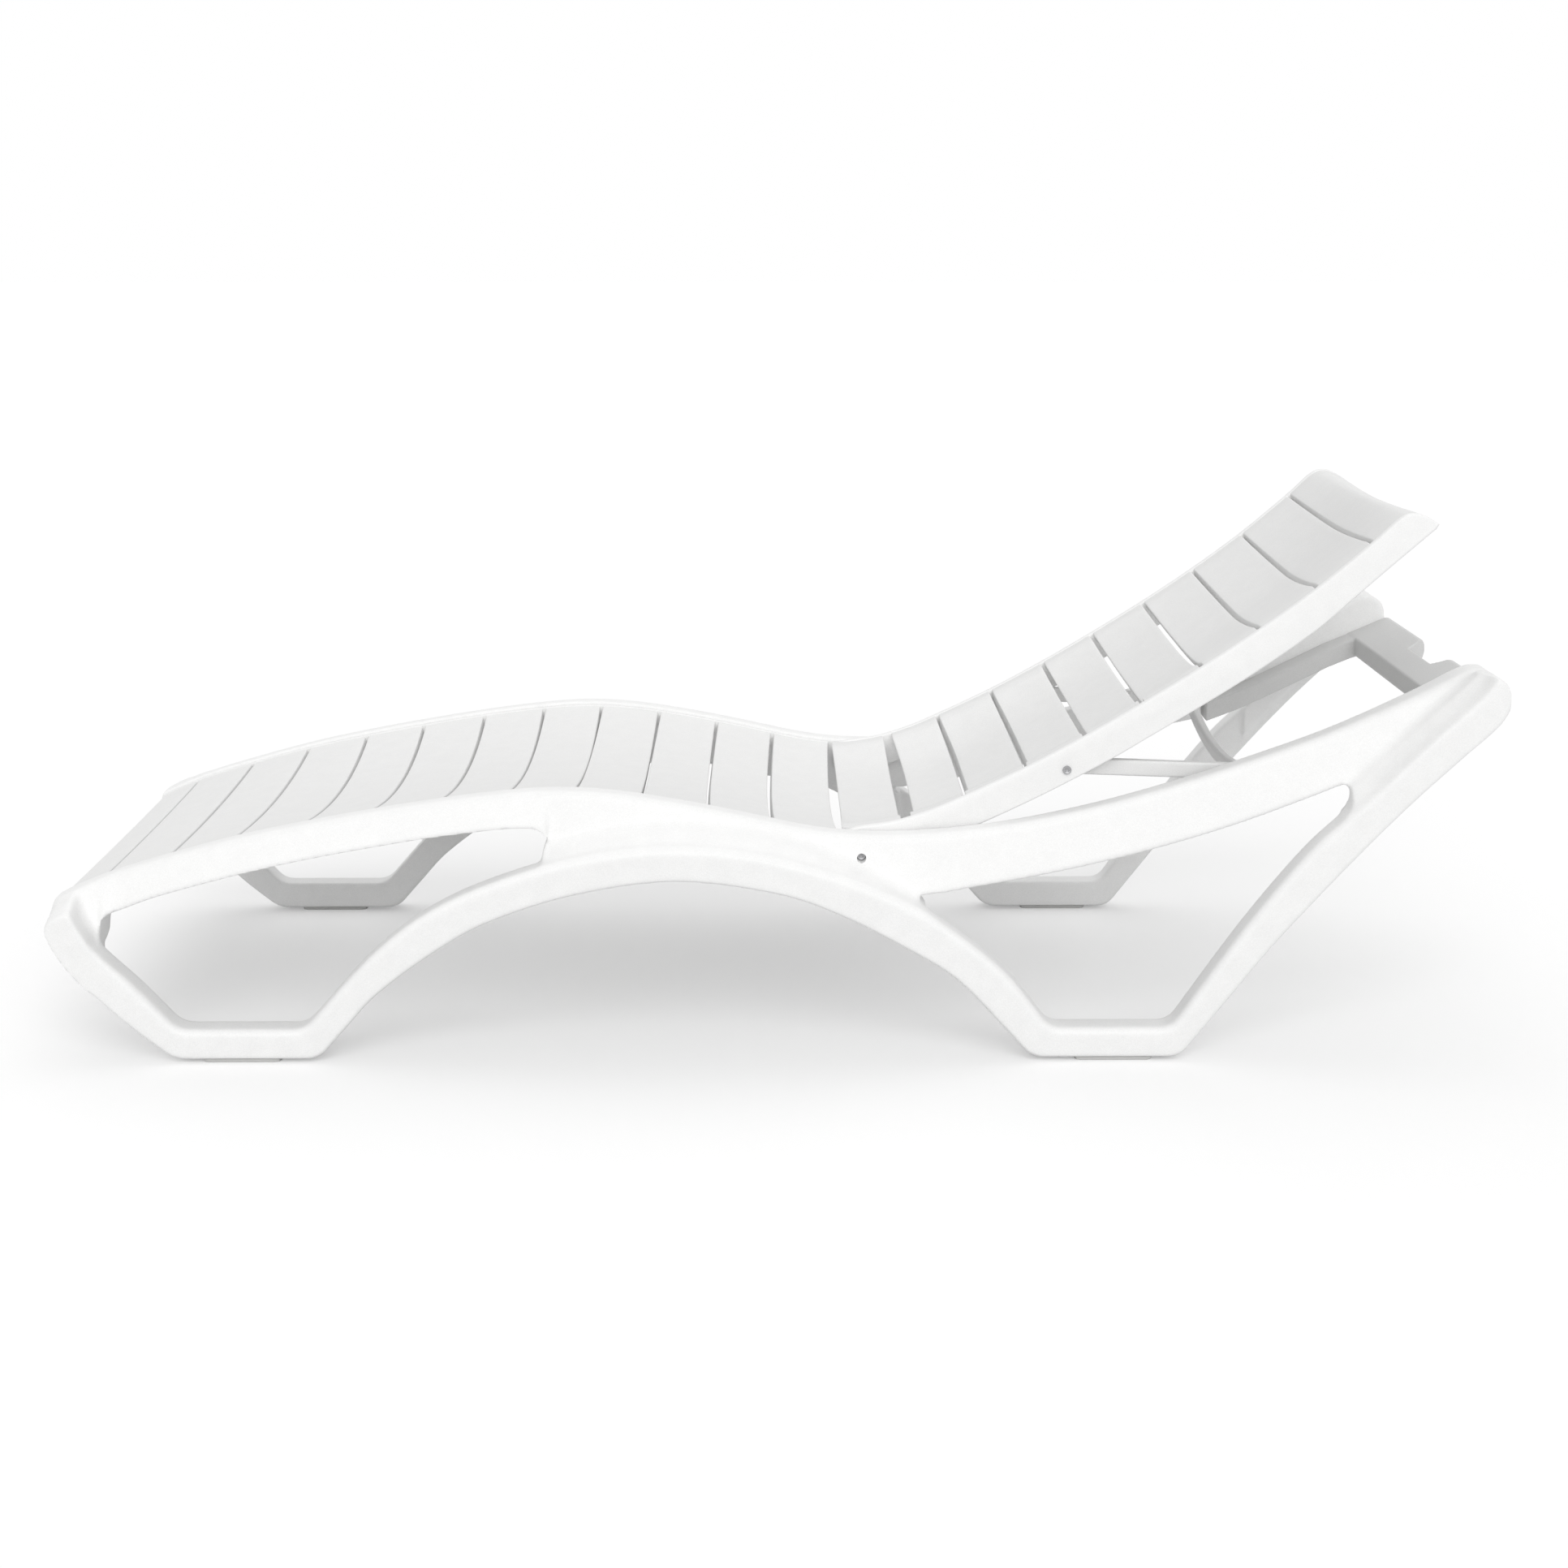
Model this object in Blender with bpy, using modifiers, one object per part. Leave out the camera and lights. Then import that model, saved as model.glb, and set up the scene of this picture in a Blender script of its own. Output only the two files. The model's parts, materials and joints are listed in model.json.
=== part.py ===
"""Sun lounger: two arched side frames, a slatted deck, a hinged slatted backrest and its prop.

Metres, +Z up. +X runs towards the head end, -Y is the user's left. The floor is Z zero.
"""

import math

import bmesh
import bpy
import numpy as np
from mathutils import Matrix

# Driving sizes
FRAME_LENGTH = 1.904
FRAME_HEIGHT = 0.517
FRAME_WIDTH = 0.700
BACK_REACH = 0.865

# Side frame: outlines as shares of FRAME_LENGTH from the middle and of FRAME_HEIGHT from the floor
RAIL_TOP_SHARES = (
    (-0.5000, 0.3880), (-0.4968, 0.4081), (-0.4645, 0.4603), (-0.4216, 0.5096), (-0.3692, 0.5616),
    (-0.3169, 0.6020), (-0.2646, 0.6367), (-0.2123, 0.6656), (-0.1704, 0.6820), (-0.1416, 0.6849),
    (-0.1075, 0.6763), (-0.0657, 0.6522), (-0.0238, 0.6214), (0.0180, 0.5876), (0.0494, 0.5712),
    (0.0861, 0.5673), (0.1280, 0.5767), (0.1753, 0.6014), (0.2279, 0.6443), (0.2806, 0.7007),
    (0.3332, 0.7665), (0.3858, 0.8396), (0.4383, 0.9302), (0.4650, 0.9830), (0.4776, 1.0010),
    (0.4840, 0.9990), (0.4903, 0.9830), (0.4935, 0.9600), (0.4944, 0.9340),
)
RAIL_FOOT_SHARES = (
    (-0.5000, 0.3500), (-0.4940, 0.3150), (-0.4820, 0.2900), (-0.4700, 0.2940), (-0.4665, 0.3050),
    (-0.4640, 0.3560), (-0.4590, 0.3730), (-0.4500, 0.3850), (-0.4236, 0.4200), (-0.3697, 0.4744),
    (-0.3245, 0.5127), (-0.2795, 0.5444), (-0.2350, 0.5720), (-0.1900, 0.5928), (-0.1620, 0.5990),
    (-0.1560, 0.5930), (-0.1535, 0.5520), (-0.1300, 0.5450), (-0.0987, 0.5400), (-0.0487, 0.4900),
    (0.0013, 0.4520), (0.0513, 0.4250), (0.1048, 0.4197), (0.1373, 0.4381), (0.1909, 0.4749),
    (0.2355, 0.5126), (0.2802, 0.5580), (0.3243, 0.6112), (0.3684, 0.6740), (0.3930, 0.7120),
    (0.4060, 0.7330), (0.4383, 0.7900), (0.4672, 0.8500), (0.4883, 0.9000), (0.4944, 0.9200),
)
LEG_OUTER_SHARES = (
    ((-0.4819, 0.4333), (-0.4920, 0.4197), (-0.4970, 0.3810), (-0.4952, 0.3288), (-0.4832, 0.2495),
     (-0.4628, 0.1663), (-0.4404, 0.0870), (-0.4152, 0.0097)),
    ((-0.4152, 0.0097), (-0.3149, 0.0097)),
    ((-0.3149, 0.0097), (-0.2797, 0.1876), (-0.2387, 0.3017), (-0.1920, 0.3907), (-0.1342, 0.4565),
     (-0.0659, 0.4826), (0.0024, 0.4555), (0.0475, 0.4014), (0.0937, 0.3191), (0.1342, 0.2186),
     (0.1799, 0.0097)),
    ((0.1799, 0.0097), (0.2833, 0.0097)),
    ((0.2833, 0.0097), (0.3160, 0.1700), (0.3421, 0.2990), (0.3661, 0.4050), (0.4076, 0.5825),
     (0.4344, 0.6889), (0.4633, 0.7933), (0.4880, 0.8820), (0.4944, 0.9400), (0.4915, 0.9800),
     (0.4845, 0.9960)),
)
LEG_INNER_SHARES = (
    ((0.4845, 0.9960), (0.4724, 0.9400), (0.4404, 0.8250), (0.4120, 0.7176), (0.3884, 0.6364),
     (0.3626, 0.5397), (0.3233, 0.3501), (0.2765, 0.0890)),
    ((0.2765, 0.0890), (0.1925, 0.0890)),
    ((0.1925, 0.0890), (0.1610, 0.2340), (0.1242, 0.3462), (0.0932, 0.4178), (0.0475, 0.4894),
     (-0.0082, 0.5474), (-0.0612, 0.5677), (-0.1079, 0.5571), (-0.1641, 0.5106), (-0.2251, 0.4217),
     (-0.2723, 0.2979), (-0.3243, 0.0890)),
    ((-0.3243, 0.0890), (-0.4115, 0.0890)),
    ((-0.4115, 0.0890), (-0.4383, 0.2012), (-0.4640, 0.2979), (-0.4766, 0.3694), (-0.4819, 0.4333)),
)
RAIL_INNER_Y = 0.258
RAIL_LIP_Y = 0.262
RAIL_CROWN_Y = 0.285
RAIL_ARRIS_Y = 0.2915
RAIL_FOOT_Y = 0.308
RAIL_FLARE_SHARES = ((-0.5000, 1.0), (-0.4800, 0.9), (-0.4550, 0.0), (0.4000, 0.0), (0.4700, 0.8), (0.4944, 1.0))
RAIL_FOOT_FLARE = 0.024
RAIL_ARRIS_FLARE = 0.012
RAIL_LIP_DROP = 0.004
RAIL_ARRIS_DROP = 0.008
RAIL_STATION_GAP = 0.004
LEG_INNER_Y = 0.310
LEG_EDGE = 0.004
LEG_CORNER = 0.014

# Webs that carry the leg's outline in under the rail: middle, front nose and rear ear
WEB_DEEP_Y = 0.272
WEB_COVE_Y = 0.300
WEB_ARRIS_Y = 0.342
WEB_SINK = 0.003
WEB_PARTS = 3
WEB_BED = 0.008
MIDDLE_WEB_SHARES = (-0.1541, 0.1013)
MIDDLE_WEB_RISE_SHARES = ((-0.1541, 0.0300), (-0.0587, 0.0310), (0.0313, 0.0270), (0.1013, 0.0050))
NOSE_WEB_SHARE = -0.4640
EAR_WEB_SHARES = (0.3950, 0.4800)
EAR_WEB_RISE_SHARES = ((0.3950, 0.0450), (0.4200, 0.0250), (0.4600, 0.0120), (0.4711, 0.0060), (0.4845, 0.0000))

# Deck
DECK_HALF_WIDTH = 0.2555
DECK_CURB = 0.0055
DECK_CURB_DEPTH = 0.020
DECK_BELOW_RAIL = 0.003
DECK_FRONT_SHARE = -0.4968
DECK_REAR_SHARE = 0.0449
DECK_SLOT_SHARES = (
    -0.4678, -0.4220, -0.3763, -0.3286, -0.2820, -0.2326, -0.1841, -0.1375, -0.0905, -0.0440, 0.0009,
)
DECK_SLOT = 0.005
DECK_DISH = 0.025
DECK_DISH_SHARES = ((-0.4985, 0.04), (-0.4706, 0.08), (-0.4233, 0.20), (-0.3776, 0.50), (-0.3298, 0.88),
                    (-0.2834, 1.00), (0.0436, 1.00))
SLAT_SKIN = 0.0035
SLAT_FLANGE = 0.016
SLAT_EDGE = 0.003
SLAT_SINK = 0.0012
SLAT_ROOT = 0.003
DECK_STATION_SHARES = (-1.0, -0.75, -0.40, 0.0, 0.40, 0.75, 1.0)
BACK_STATION_SHARES = (-1.0, -0.906, -0.78, -0.45, 0.0, 0.45, 0.78, 0.906, 1.0)
CURB_STATIONS = 26

# Backrest: outlines as shares of BACK_REACH from the hinge
HINGE_X_SHARE = 0.0617
HINGE_Z_SHARE = 0.5126
CHEEK_TOP_SHARES = (
    (-0.0264, 0.0172), (-0.0189, 0.0287), (-0.0017, 0.0350), (0.0306, 0.0396), (0.0629, 0.0460),
    (0.1112, 0.0621), (0.1574, 0.0823), (0.2506, 0.1272), (0.3399, 0.1761), (0.4257, 0.2275),
    (0.5127, 0.2827), (0.5980, 0.3409), (0.6815, 0.4037), (0.7599, 0.4711), (0.7973, 0.5068),
    (0.8164, 0.5172), (0.8371, 0.5149), (0.8601, 0.5016),
)
CHEEK_FOOT_SHARES = (
    (0.8555, 0.4941), (0.7910, 0.4365), (0.7391, 0.3893), (0.6826, 0.3386), (0.5951, 0.2749),
    (0.5168, 0.2238), (0.4373, 0.1746), (0.3832, 0.1416), (0.2852, 0.0881), (0.1919, 0.0425),
    (0.1205, 0.0108), (0.0629, -0.0116), (0.0306, -0.0197), (-0.0017, -0.0238), (-0.0189, -0.0191),
    (-0.0264, -0.0082),
)
CHEEK_OUTER_Y = 0.253
CHEEK = 0.012
CHEEK_EDGE = 0.003
BACK_SLOT_SHARES = (0.0700, 0.1584, 0.2520, 0.3425, 0.4277, 0.5160, 0.6006, 0.6844, 0.7630)
BACK_FIRST_SLOT = 0.012
BACK_SLOT = 0.005
BACK_DISH = 0.045
BACK_DISH_SHARES = ((-0.0260, 0.55), (0.0636, 0.75), (0.1584, 1.00), (0.3425, 0.93), (0.5160, 0.80),
                    (0.6844, 0.66), (0.7630, 0.42), (0.8197, 0.16), (0.8636, 0.12))
BACK_CURVE_SHARES = ((-0.0260, 3.0), (0.0636, 4.0), (0.1584, 6.0), (0.3425, 4.0), (0.5160, 1.8),
                     (0.6006, 1.4), (0.8636, 1.6))
BACK_DISH_HALF_WIDTH = 0.2205
BACK_FLANGE = 0.015

# Hinge bolts and bushes
PIN_RADIUS = 0.004
PIN_PLAY = 0.0001
PIN_HEAD_RADIUS = 0.0057
PIN_HEAD = 0.004
PIN_SOCKET_RADIUS = 0.0028
PIN_SOCKET = 0.0022
PIN_SEAT_Y = 0.2835
PIN_BORE_RADIUS = 0.0072
PIN_BORE_OUT_Y = 0.335
PIN_END_Y = 0.2305
NUT_RADIUS = 0.0068
NUT = 0.0065
NUT_GAP = 0.0008
NUT_PLAY = 0.0003
NUT_STEPS = 12
BUSH_RADIUS = 0.0062
BUSH_FLANGE_RADIUS = 0.010
BUSH_FLANGE = 0.0042
GAP = 0.0003
ROUND_STEPS = 16

# Prop bail, its pins and its foot, as shares of FRAME_LENGTH and FRAME_HEIGHT
PROP_PIN_X_SHARE = 0.2049
PROP_PIN_Z_SHARE = 0.7225
PROP_FOOT_X_SHARE = 0.3359
PROP_FOOT_Z_SHARE = 0.6965
PROP_OUTER_Y = 0.232
PROP_ARM = 0.0125
PROP_EYE_RADIUS = 0.011
PROP_FOOT_RADIUS = 0.0065
PROP_FOOT_RISE = 0.0085
PROP_TRUNNION_Y = 0.2395
PROP_BOW = 0.030
PROP_BAR_LIFT = 0.0015
PROP_STATIONS = 13
PROP_SEAT_Y = 0.2525
WASHER_RADIUS = 0.009

# Rear cradle: ledges beside the backrest, racks for the prop's foot and the cross member
LEDGE_TOP_SHARES = (
    (0.3490, 0.6961), (0.3737, 0.7312), (0.3947, 0.7670), (0.4278, 0.8269), (0.4633, 0.8870),
    (0.4710, 0.8950),
)
LEDGE_INNER_Y = 0.215
LEDGE_OUTER_Y = 0.2577
LEDGE_DEPTH = 0.029
LEDGE_SKIN = 0.005
LEDGE_WALL = 0.004
LEDGE_POCKET_SHARES = (0.3560, 0.4613)
RACK_TOP_SHARES = ((0.2613, 0.6369), (0.3470, 0.6880))
RACK_FOOT_SHARES = ((0.3470, 0.6451), (0.2613, 0.5774))
RACK_INNER_Y = 0.2329
RACK_OUTER_Y = 0.2398
NOTCH_SHARES = (0.2780, 0.2975, 0.3141, 0.3265, 0.3359)
NOTCH_DEPTH = 0.0015
TAIL_SHARES = (
    (0.4653, 0.8380), (0.4653, 0.8917), (0.4948, 0.9390), (0.4975, 0.9370), (0.4995, 0.9230),
    (0.5000, 0.9050), (0.4985, 0.8860), (0.4950, 0.8700),
)
TAIL_POCKET_SHARES = (
    (0.4674, 0.8000), (0.4674, 0.8830), (0.4935, 0.9220), (0.4965, 0.9100), (0.4968, 0.8900),
    (0.4930, 0.8000),
)
TAIL_FRONT_POCKET_SHARES = (
    (0.4674, 0.8000), (0.4674, 0.8830), (0.4800, 0.9000), (0.4800, 0.8000),
)
HOLD_MOUTH = 0.077
HOLD_THROAT = 0.056
HOLD_THROAT_SHARE = 0.4842
HOLD_WALL = 0.006
HOLD_LOW_SHARE = 0.80

# Cross members, pads and screws
NOSE_BEAM_SHARES = (
    (-0.4900, 0.3740), (-0.4980, 0.3680), (-0.4976, 0.3300), (-0.4900, 0.2830), (-0.4810, 0.2690),
    (-0.4730, 0.2740), (-0.4730, 0.4030),
)
NOSE_POCKET_SHARES = (
    (-0.4940, 0.4500), (-0.4940, 0.3500), (-0.4880, 0.3080), (-0.4810, 0.2900), (-0.4751, 0.2920),
    (-0.4751, 0.4500),
)
BEAM_HALF_LENGTH = 0.2577
BEAM_WALL = 0.004
TUBE_X_SHARE = 0.0207
TUBE_Z_SHARE = 0.4680
TUBE_RADIUS = 0.010
TUBE_BORE_RADIUS = 0.008
TUBE_SEAT = 0.014
TUBE_PLAY = 0.0003
PAD_X_SHARES = (-0.3687, 0.2373)
PAD_LENGTH = 0.103
PAD_WIDTH = 0.031
PAD_HEIGHT = 0.0047
PAD_CORNER = 0.008
PAD_PEG_RADIUS = 0.004
PAD_PEG = 0.012
PAD_PEG_PLAY = 0.0003
SCREW_RADIUS = 0.0024
SCREW_PLAY = 0.0003
SCREW_HEAD_RADIUS = 0.0045
SCREW_HEAD = 0.0028
SCREW_LENGTH = 0.026
SCREW_STEPS = 8
DECK_SCREW_SHARES = (-0.4000, -0.2090, -0.0230)
DECK_SCREW_DROP = 0.012
CRADLE_SCREW_SHARES = (0.3700, 0.4400)
CRADLE_SCREW_DROP = 0.016
RACK_SCREW_SHARES = ((0.2850, 0.6099), (0.3400, 0.6615))
RACK_SCREW_SINK = 0.0035
RACK_SCREW_LENGTH = 0.034
RACK_SPACER_RADIUS = 0.0055
NOSE_SCREW_SHARES = ((-0.4840, 0.3500),)

CORNER_TURN = math.radians(32.0)
OUTLINE_PARTS = 2
WELD = 0.00002


def scaled(shares, length=FRAME_LENGTH, height=FRAME_HEIGHT):
    """Turns outline shares into metres."""
    return [(x * length, z * height) for x, z in shares]


def smooth(points, parts):
    """Points of a smooth run through the given points, each gap cut into equal parts."""
    p = np.array(points)
    if len(p) < 3:
        return [tuple(v) for v in p]
    chord = np.linalg.norm(np.diff(p, axis=0), axis=1)
    slope = np.diff(p, axis=0) / chord[:, None]
    tangent = np.vstack([slope[:1], np.zeros((len(p) - 2, 2)), slope[-1:]])
    for i in range(1, len(p) - 1):
        before, after = chord[i - 1], chord[i]
        tangent[i] = (slope[i - 1] * after + slope[i] * before) / (before + after)
    run = []
    for i in range(len(p) - 1):
        for k in range(parts):
            t = k / parts
            a, b = t * t * (3 - 2 * t), t * (1 - t)
            run.append(p[i] * (1 - a) + p[i + 1] * a
                       + chord[i] * b * ((1 - t) * tangent[i] - t * tangent[i + 1]))
    run.append(p[-1])
    return [tuple(v) for v in run]


def joined(runs, parts=OUTLINE_PARTS):
    """One closed outline from runs that meet end to end."""
    outline = []
    for run in runs:
        outline += smooth(run, parts)[:-1]
    return outline


def rounded(outline, radius):
    """The closed outline with each sharp corner rounded in three points."""
    done = []
    count = len(outline)
    for i in range(count):
        here = np.array(outline[i])
        back = np.array(outline[i - 1]) - here
        on = np.array(outline[(i + 1) % count]) - here
        a, b = np.linalg.norm(back), np.linalg.norm(on)
        turn = math.pi - math.acos(max(-1.0, min(1.0, float(back @ on) / (a * b))))
        if turn < CORNER_TURN:
            done.append(tuple(here))
            continue
        reach = min(radius * math.tan(turn / 2), a * 0.45, b * 0.45)
        start, end = here + back / a * reach, here + on / b * reach
        middle = (start + end) / 2 * 0.5 + here * 0.5
        done += [tuple(start), tuple(middle), tuple(end)]
    return done


def height_at(points, x):
    """Height of a left-to-right run at x."""
    return float(np.interp(x, [p[0] for p in points], [p[1] for p in points]))


def share_at(table, share):
    """Value of a two-column share table."""
    return float(np.interp(share, [row[0] for row in table], [row[1] for row in table]))


def plastic(name, colour, roughness, metallic=0.0):
    material = bpy.data.materials.new(name)
    material.use_nodes = True
    shader = material.node_tree.nodes["Principled BSDF"]
    shader.inputs["Base Color"].default_value = (*colour, 1.0)
    shader.inputs["Roughness"].default_value = roughness
    shader.inputs["Metallic"].default_value = metallic
    return material


def clean_mesh(bm, name):
    """Welds, turns all faces outward and returns the mesh."""
    bmesh.ops.remove_doubles(bm, verts=bm.verts, dist=WELD)
    bmesh.ops.dissolve_degenerate(bm, dist=WELD, edges=bm.edges)
    bmesh.ops.triangulate(bm, faces=[face for face in bm.faces if len(face.verts) > 3])
    bmesh.ops.recalc_face_normals(bm, faces=bm.faces)
    mesh = bpy.data.meshes.new(name)
    bm.to_mesh(mesh)
    bm.free()
    return mesh


def outline_mesh(name, outline, near, far, edge=0.0, upright=True):
    """A closed outline given as (x, z) pairs, made solid between two Y values, or two Z values."""
    curve = bpy.data.curves.new(name, "CURVE")
    curve.dimensions = "2D"
    curve.fill_mode = "BOTH"
    curve.extrude = abs(far - near) / 2 - edge
    curve.bevel_depth = edge
    curve.bevel_resolution = 1
    curve.offset = -edge
    spline = curve.splines.new("POLY")
    spline.points.add(len(outline) - 1)
    for point, (u, v) in zip(spline.points, outline):
        point.co = (u, v, 0.0, 1.0)
    spline.use_cyclic_u = True
    holder = bpy.data.objects.new(name, curve)
    bpy.context.scene.collection.objects.link(holder)
    graph = bpy.context.evaluated_depsgraph_get()
    flat = bpy.data.meshes.new_from_object(holder.evaluated_get(graph))
    bpy.data.objects.remove(holder)
    bm = bmesh.new()
    bm.from_mesh(flat)
    turn = Matrix.Rotation(math.radians(90.0), 4, "X") if upright else Matrix.Identity(4)
    middle = (near + far) / 2
    shift = Matrix.Translation((0.0, middle, 0.0) if upright else (0.0, 0.0, middle))
    bmesh.ops.transform(bm, matrix=shift @ turn, verts=bm.verts)
    return clean_mesh(bm, name)


def loft_mesh(name, rings):
    """A closed solid through rings of equally many points."""
    bm = bmesh.new()
    made = [[bm.verts.new(point) for point in ring] for ring in rings]
    count = len(made[0])
    for one, two in zip(made, made[1:]):
        for i in range(count):
            k = (i + 1) % count
            bm.faces.new((one[i], one[k], two[k], two[i]))
    bm.faces.new(made[0])
    bm.faces.new(reversed(made[-1]))
    return clean_mesh(bm, name)


def turned_mesh(name, profile, steps=ROUND_STEPS):
    """A solid turned about the Z axis from a profile of (radius, height) pairs that ends on the axis."""
    mesh = bpy.data.meshes.new(name)
    points = [(radius, 0.0, height) for radius, height in profile]
    mesh.from_pydata(points, [(i, i + 1) for i in range(len(points) - 1)], [])
    holder = bpy.data.objects.new(name, mesh)
    bpy.context.scene.collection.objects.link(holder)
    screw = holder.modifiers.new("Turn", "SCREW")
    screw.steps = steps
    screw.render_steps = steps
    screw.use_merge_vertices = True
    screw.merge_threshold = WELD
    graph = bpy.context.evaluated_depsgraph_get()
    solid = bpy.data.meshes.new_from_object(holder.evaluated_get(graph))
    bpy.data.objects.remove(holder)
    bm = bmesh.new()
    bm.from_mesh(solid)
    return clean_mesh(bm, name)


def rod_mesh(name, radius, near, far, x, z, steps=ROUND_STEPS):
    """A round rod along Y between two Y values."""
    bm = bmesh.new()
    bmesh.ops.create_cone(bm, cap_ends=True, segments=steps, radius1=radius, radius2=radius,
                          depth=abs(far - near))
    turn = Matrix.Rotation(math.radians(90.0), 4, "X")
    bmesh.ops.transform(bm, matrix=Matrix.Translation((x, (near + far) / 2, z)) @ turn, verts=bm.verts)
    return clean_mesh(bm, name)


def mixed(name, meshes):
    """One mesh that holds all the given ones side by side."""
    bm = bmesh.new()
    for mesh in meshes:
        bm.from_mesh(mesh)
    made = bpy.data.meshes.new(name)
    bm.to_mesh(made)
    bm.free()
    return made


def new_piece(name, mesh, material, parts, origin=(0.0, 0.0, 0.0), parent=None):
    """An object whose mesh is given in world space and whose own origin lies at the given point."""
    piece = bpy.data.objects.new(name, mesh)
    parts.objects.link(piece)
    mesh.transform(Matrix.Translation([-value for value in origin]))
    mesh.materials.clear()
    mesh.materials.append(material)
    piece.location = origin
    if parent is not None:
        piece.parent = parent
        piece.location = [value - base for value, base in zip(origin, parent.location)]
    return piece


def helper(name, mesh, cutters):
    """A hidden shape that a Boolean reads."""
    guide = bpy.data.objects.new(name, mesh)
    cutters.objects.link(guide)
    guide.hide_render = True
    guide.display_type = "WIRE"
    return guide


def boolean(piece, guide, operation):
    step = piece.modifiers.new(guide.name, "BOOLEAN")
    step.operation = operation
    step.solver = "EXACT"
    step.object = guide


def soften(piece):
    """Shades smooth across small angles only."""
    for polygon in piece.data.polygons:
        polygon.use_smooth = True
    piece.data.set_sharp_from_angle(angle=CORNER_TURN)


def even(table, start, end, count):
    """Evenly spaced stations of a run between two x values, as (x, z) pairs."""
    dense = smooth(table, 6)
    return [(x, height_at(dense, x)) for x in np.linspace(start, end, count)]


def rail_mesh(side):
    """The upper rail: one slanted section carried from the nose to the ear."""
    top, foot = smooth(scaled(RAIL_TOP_SHARES), 6), smooth(scaled(RAIL_FOOT_SHARES), 6)
    tables = sorted(x for x, _ in scaled(RAIL_TOP_SHARES + RAIL_FOOT_SHARES))
    stations = [x for x, after in zip(tables, tables[1:] + [FRAME_LENGTH]) if after - x > RAIL_STATION_GAP]
    stations[0] = tables[0]
    rings = []
    for x in stations:
        high, low = height_at(top, x), height_at(foot, x)
        lip = min(RAIL_LIP_DROP, (high - low) / 4)
        arris = min(RAIL_ARRIS_DROP, (high - low) / 3)
        flare = share_at(RAIL_FLARE_SHARES, x / FRAME_LENGTH)
        ring = ((RAIL_INNER_Y, low), (RAIL_FOOT_Y + RAIL_FOOT_FLARE * flare, low),
                (RAIL_ARRIS_Y + RAIL_ARRIS_FLARE * flare, high - arris),
                (RAIL_CROWN_Y, high), (RAIL_LIP_Y, high), (RAIL_INNER_Y, high - lip))
        rings.append([(x, side * y, z) for y, z in ring])
    return loft_mesh("rail", rings)


def leg_outline():
    return rounded(joined([scaled(run) for run in LEG_OUTER_SHARES + LEG_INNER_SHARES]), LEG_CORNER)


def web_mesh(name, side, top, bottom, rises):
    """A web below the rail: its top climbs from the leg's arris to a cove at the rail's face."""
    rings = []
    for y, lifted in ((WEB_ARRIS_Y, False), (WEB_COVE_Y, True), (WEB_DEEP_Y, True)):
        ring = [(x, side * y, z + (rise if lifted else -WEB_SINK)) for (x, z), rise in zip(top, rises)]
        ring += [(x, side * y, z) for x, z in bottom]
        rings.append(ring)
    return loft_mesh(name, rings)


def between(points, start, end):
    """The points of a run that lie between two x values, with ends cut at them, left to right."""
    run = sorted(points)
    inside = [p for p in run if start < p[0] < end]
    return [(start, height_at(run, start))] + inside + [(end, height_at(run, end))]


def middle_web(side):
    start, end = (share * FRAME_LENGTH for share in MIDDLE_WEB_SHARES)
    top = between(smooth(scaled(LEG_INNER_SHARES[2]), WEB_PARTS), start, end)
    under = between(smooth(scaled(LEG_OUTER_SHARES[2]), WEB_PARTS), start, end)
    rises = [share_at(MIDDLE_WEB_RISE_SHARES, x / FRAME_LENGTH) * FRAME_HEIGHT for x, _ in top]
    bottom = [(x, z + WEB_BED) for x, z in reversed(under)]
    return web_mesh("middle web", side, top, bottom, rises)


def shrunk(outline, amount):
    """The closed outline moved inward by an amount."""
    count = len(outline)
    area = sum(outline[i - 1][0] * outline[i][1] - outline[i][0] * outline[i - 1][1] for i in range(count))
    turn = 1 if area > 0 else -1
    moved = []
    for i, (x, z) in enumerate(outline):
        along = np.array(outline[(i + 1) % count]) - np.array(outline[i - 1])
        along = along / np.linalg.norm(along) * amount * turn
        moved.append((x - along[1], z + along[0]))
    return moved


def nose_web(side):
    """The front bend of the leg, carried in to the rail."""
    cut = NOSE_WEB_SHARE * FRAME_LENGTH
    outer = [p for p in smooth(scaled(LEG_OUTER_SHARES[0]), OUTLINE_PARTS) if p[0] < cut]
    inner = [p for p in smooth(scaled(LEG_INNER_SHARES[4]), OUTLINE_PARTS) if p[0] < cut]
    return outline_mesh("nose web", shrunk(inner[:-1] + outer, WEB_SINK), side * WEB_DEEP_Y,
                        side * WEB_ARRIS_Y)


def ear_web(side):
    """The upper end of the rear leg, carried in to the rail."""
    start, end = (share * FRAME_LENGTH for share in EAR_WEB_SHARES)
    inner = [p for p in smooth(scaled(LEG_INNER_SHARES[0]), WEB_PARTS) if start < p[0] < end][::-1]
    outer = [p for p in smooth(scaled(LEG_OUTER_SHARES[4]), WEB_PARTS) if start < p[0] < end]
    rises = [share_at(EAR_WEB_RISE_SHARES, x / FRAME_LENGTH) * FRAME_HEIGHT for x, _ in inner]
    bottom = [(x - WEB_SINK, z + WEB_SINK) for x, z in reversed(outer)]
    return web_mesh("ear web", side, inner, bottom, rises)


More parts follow.
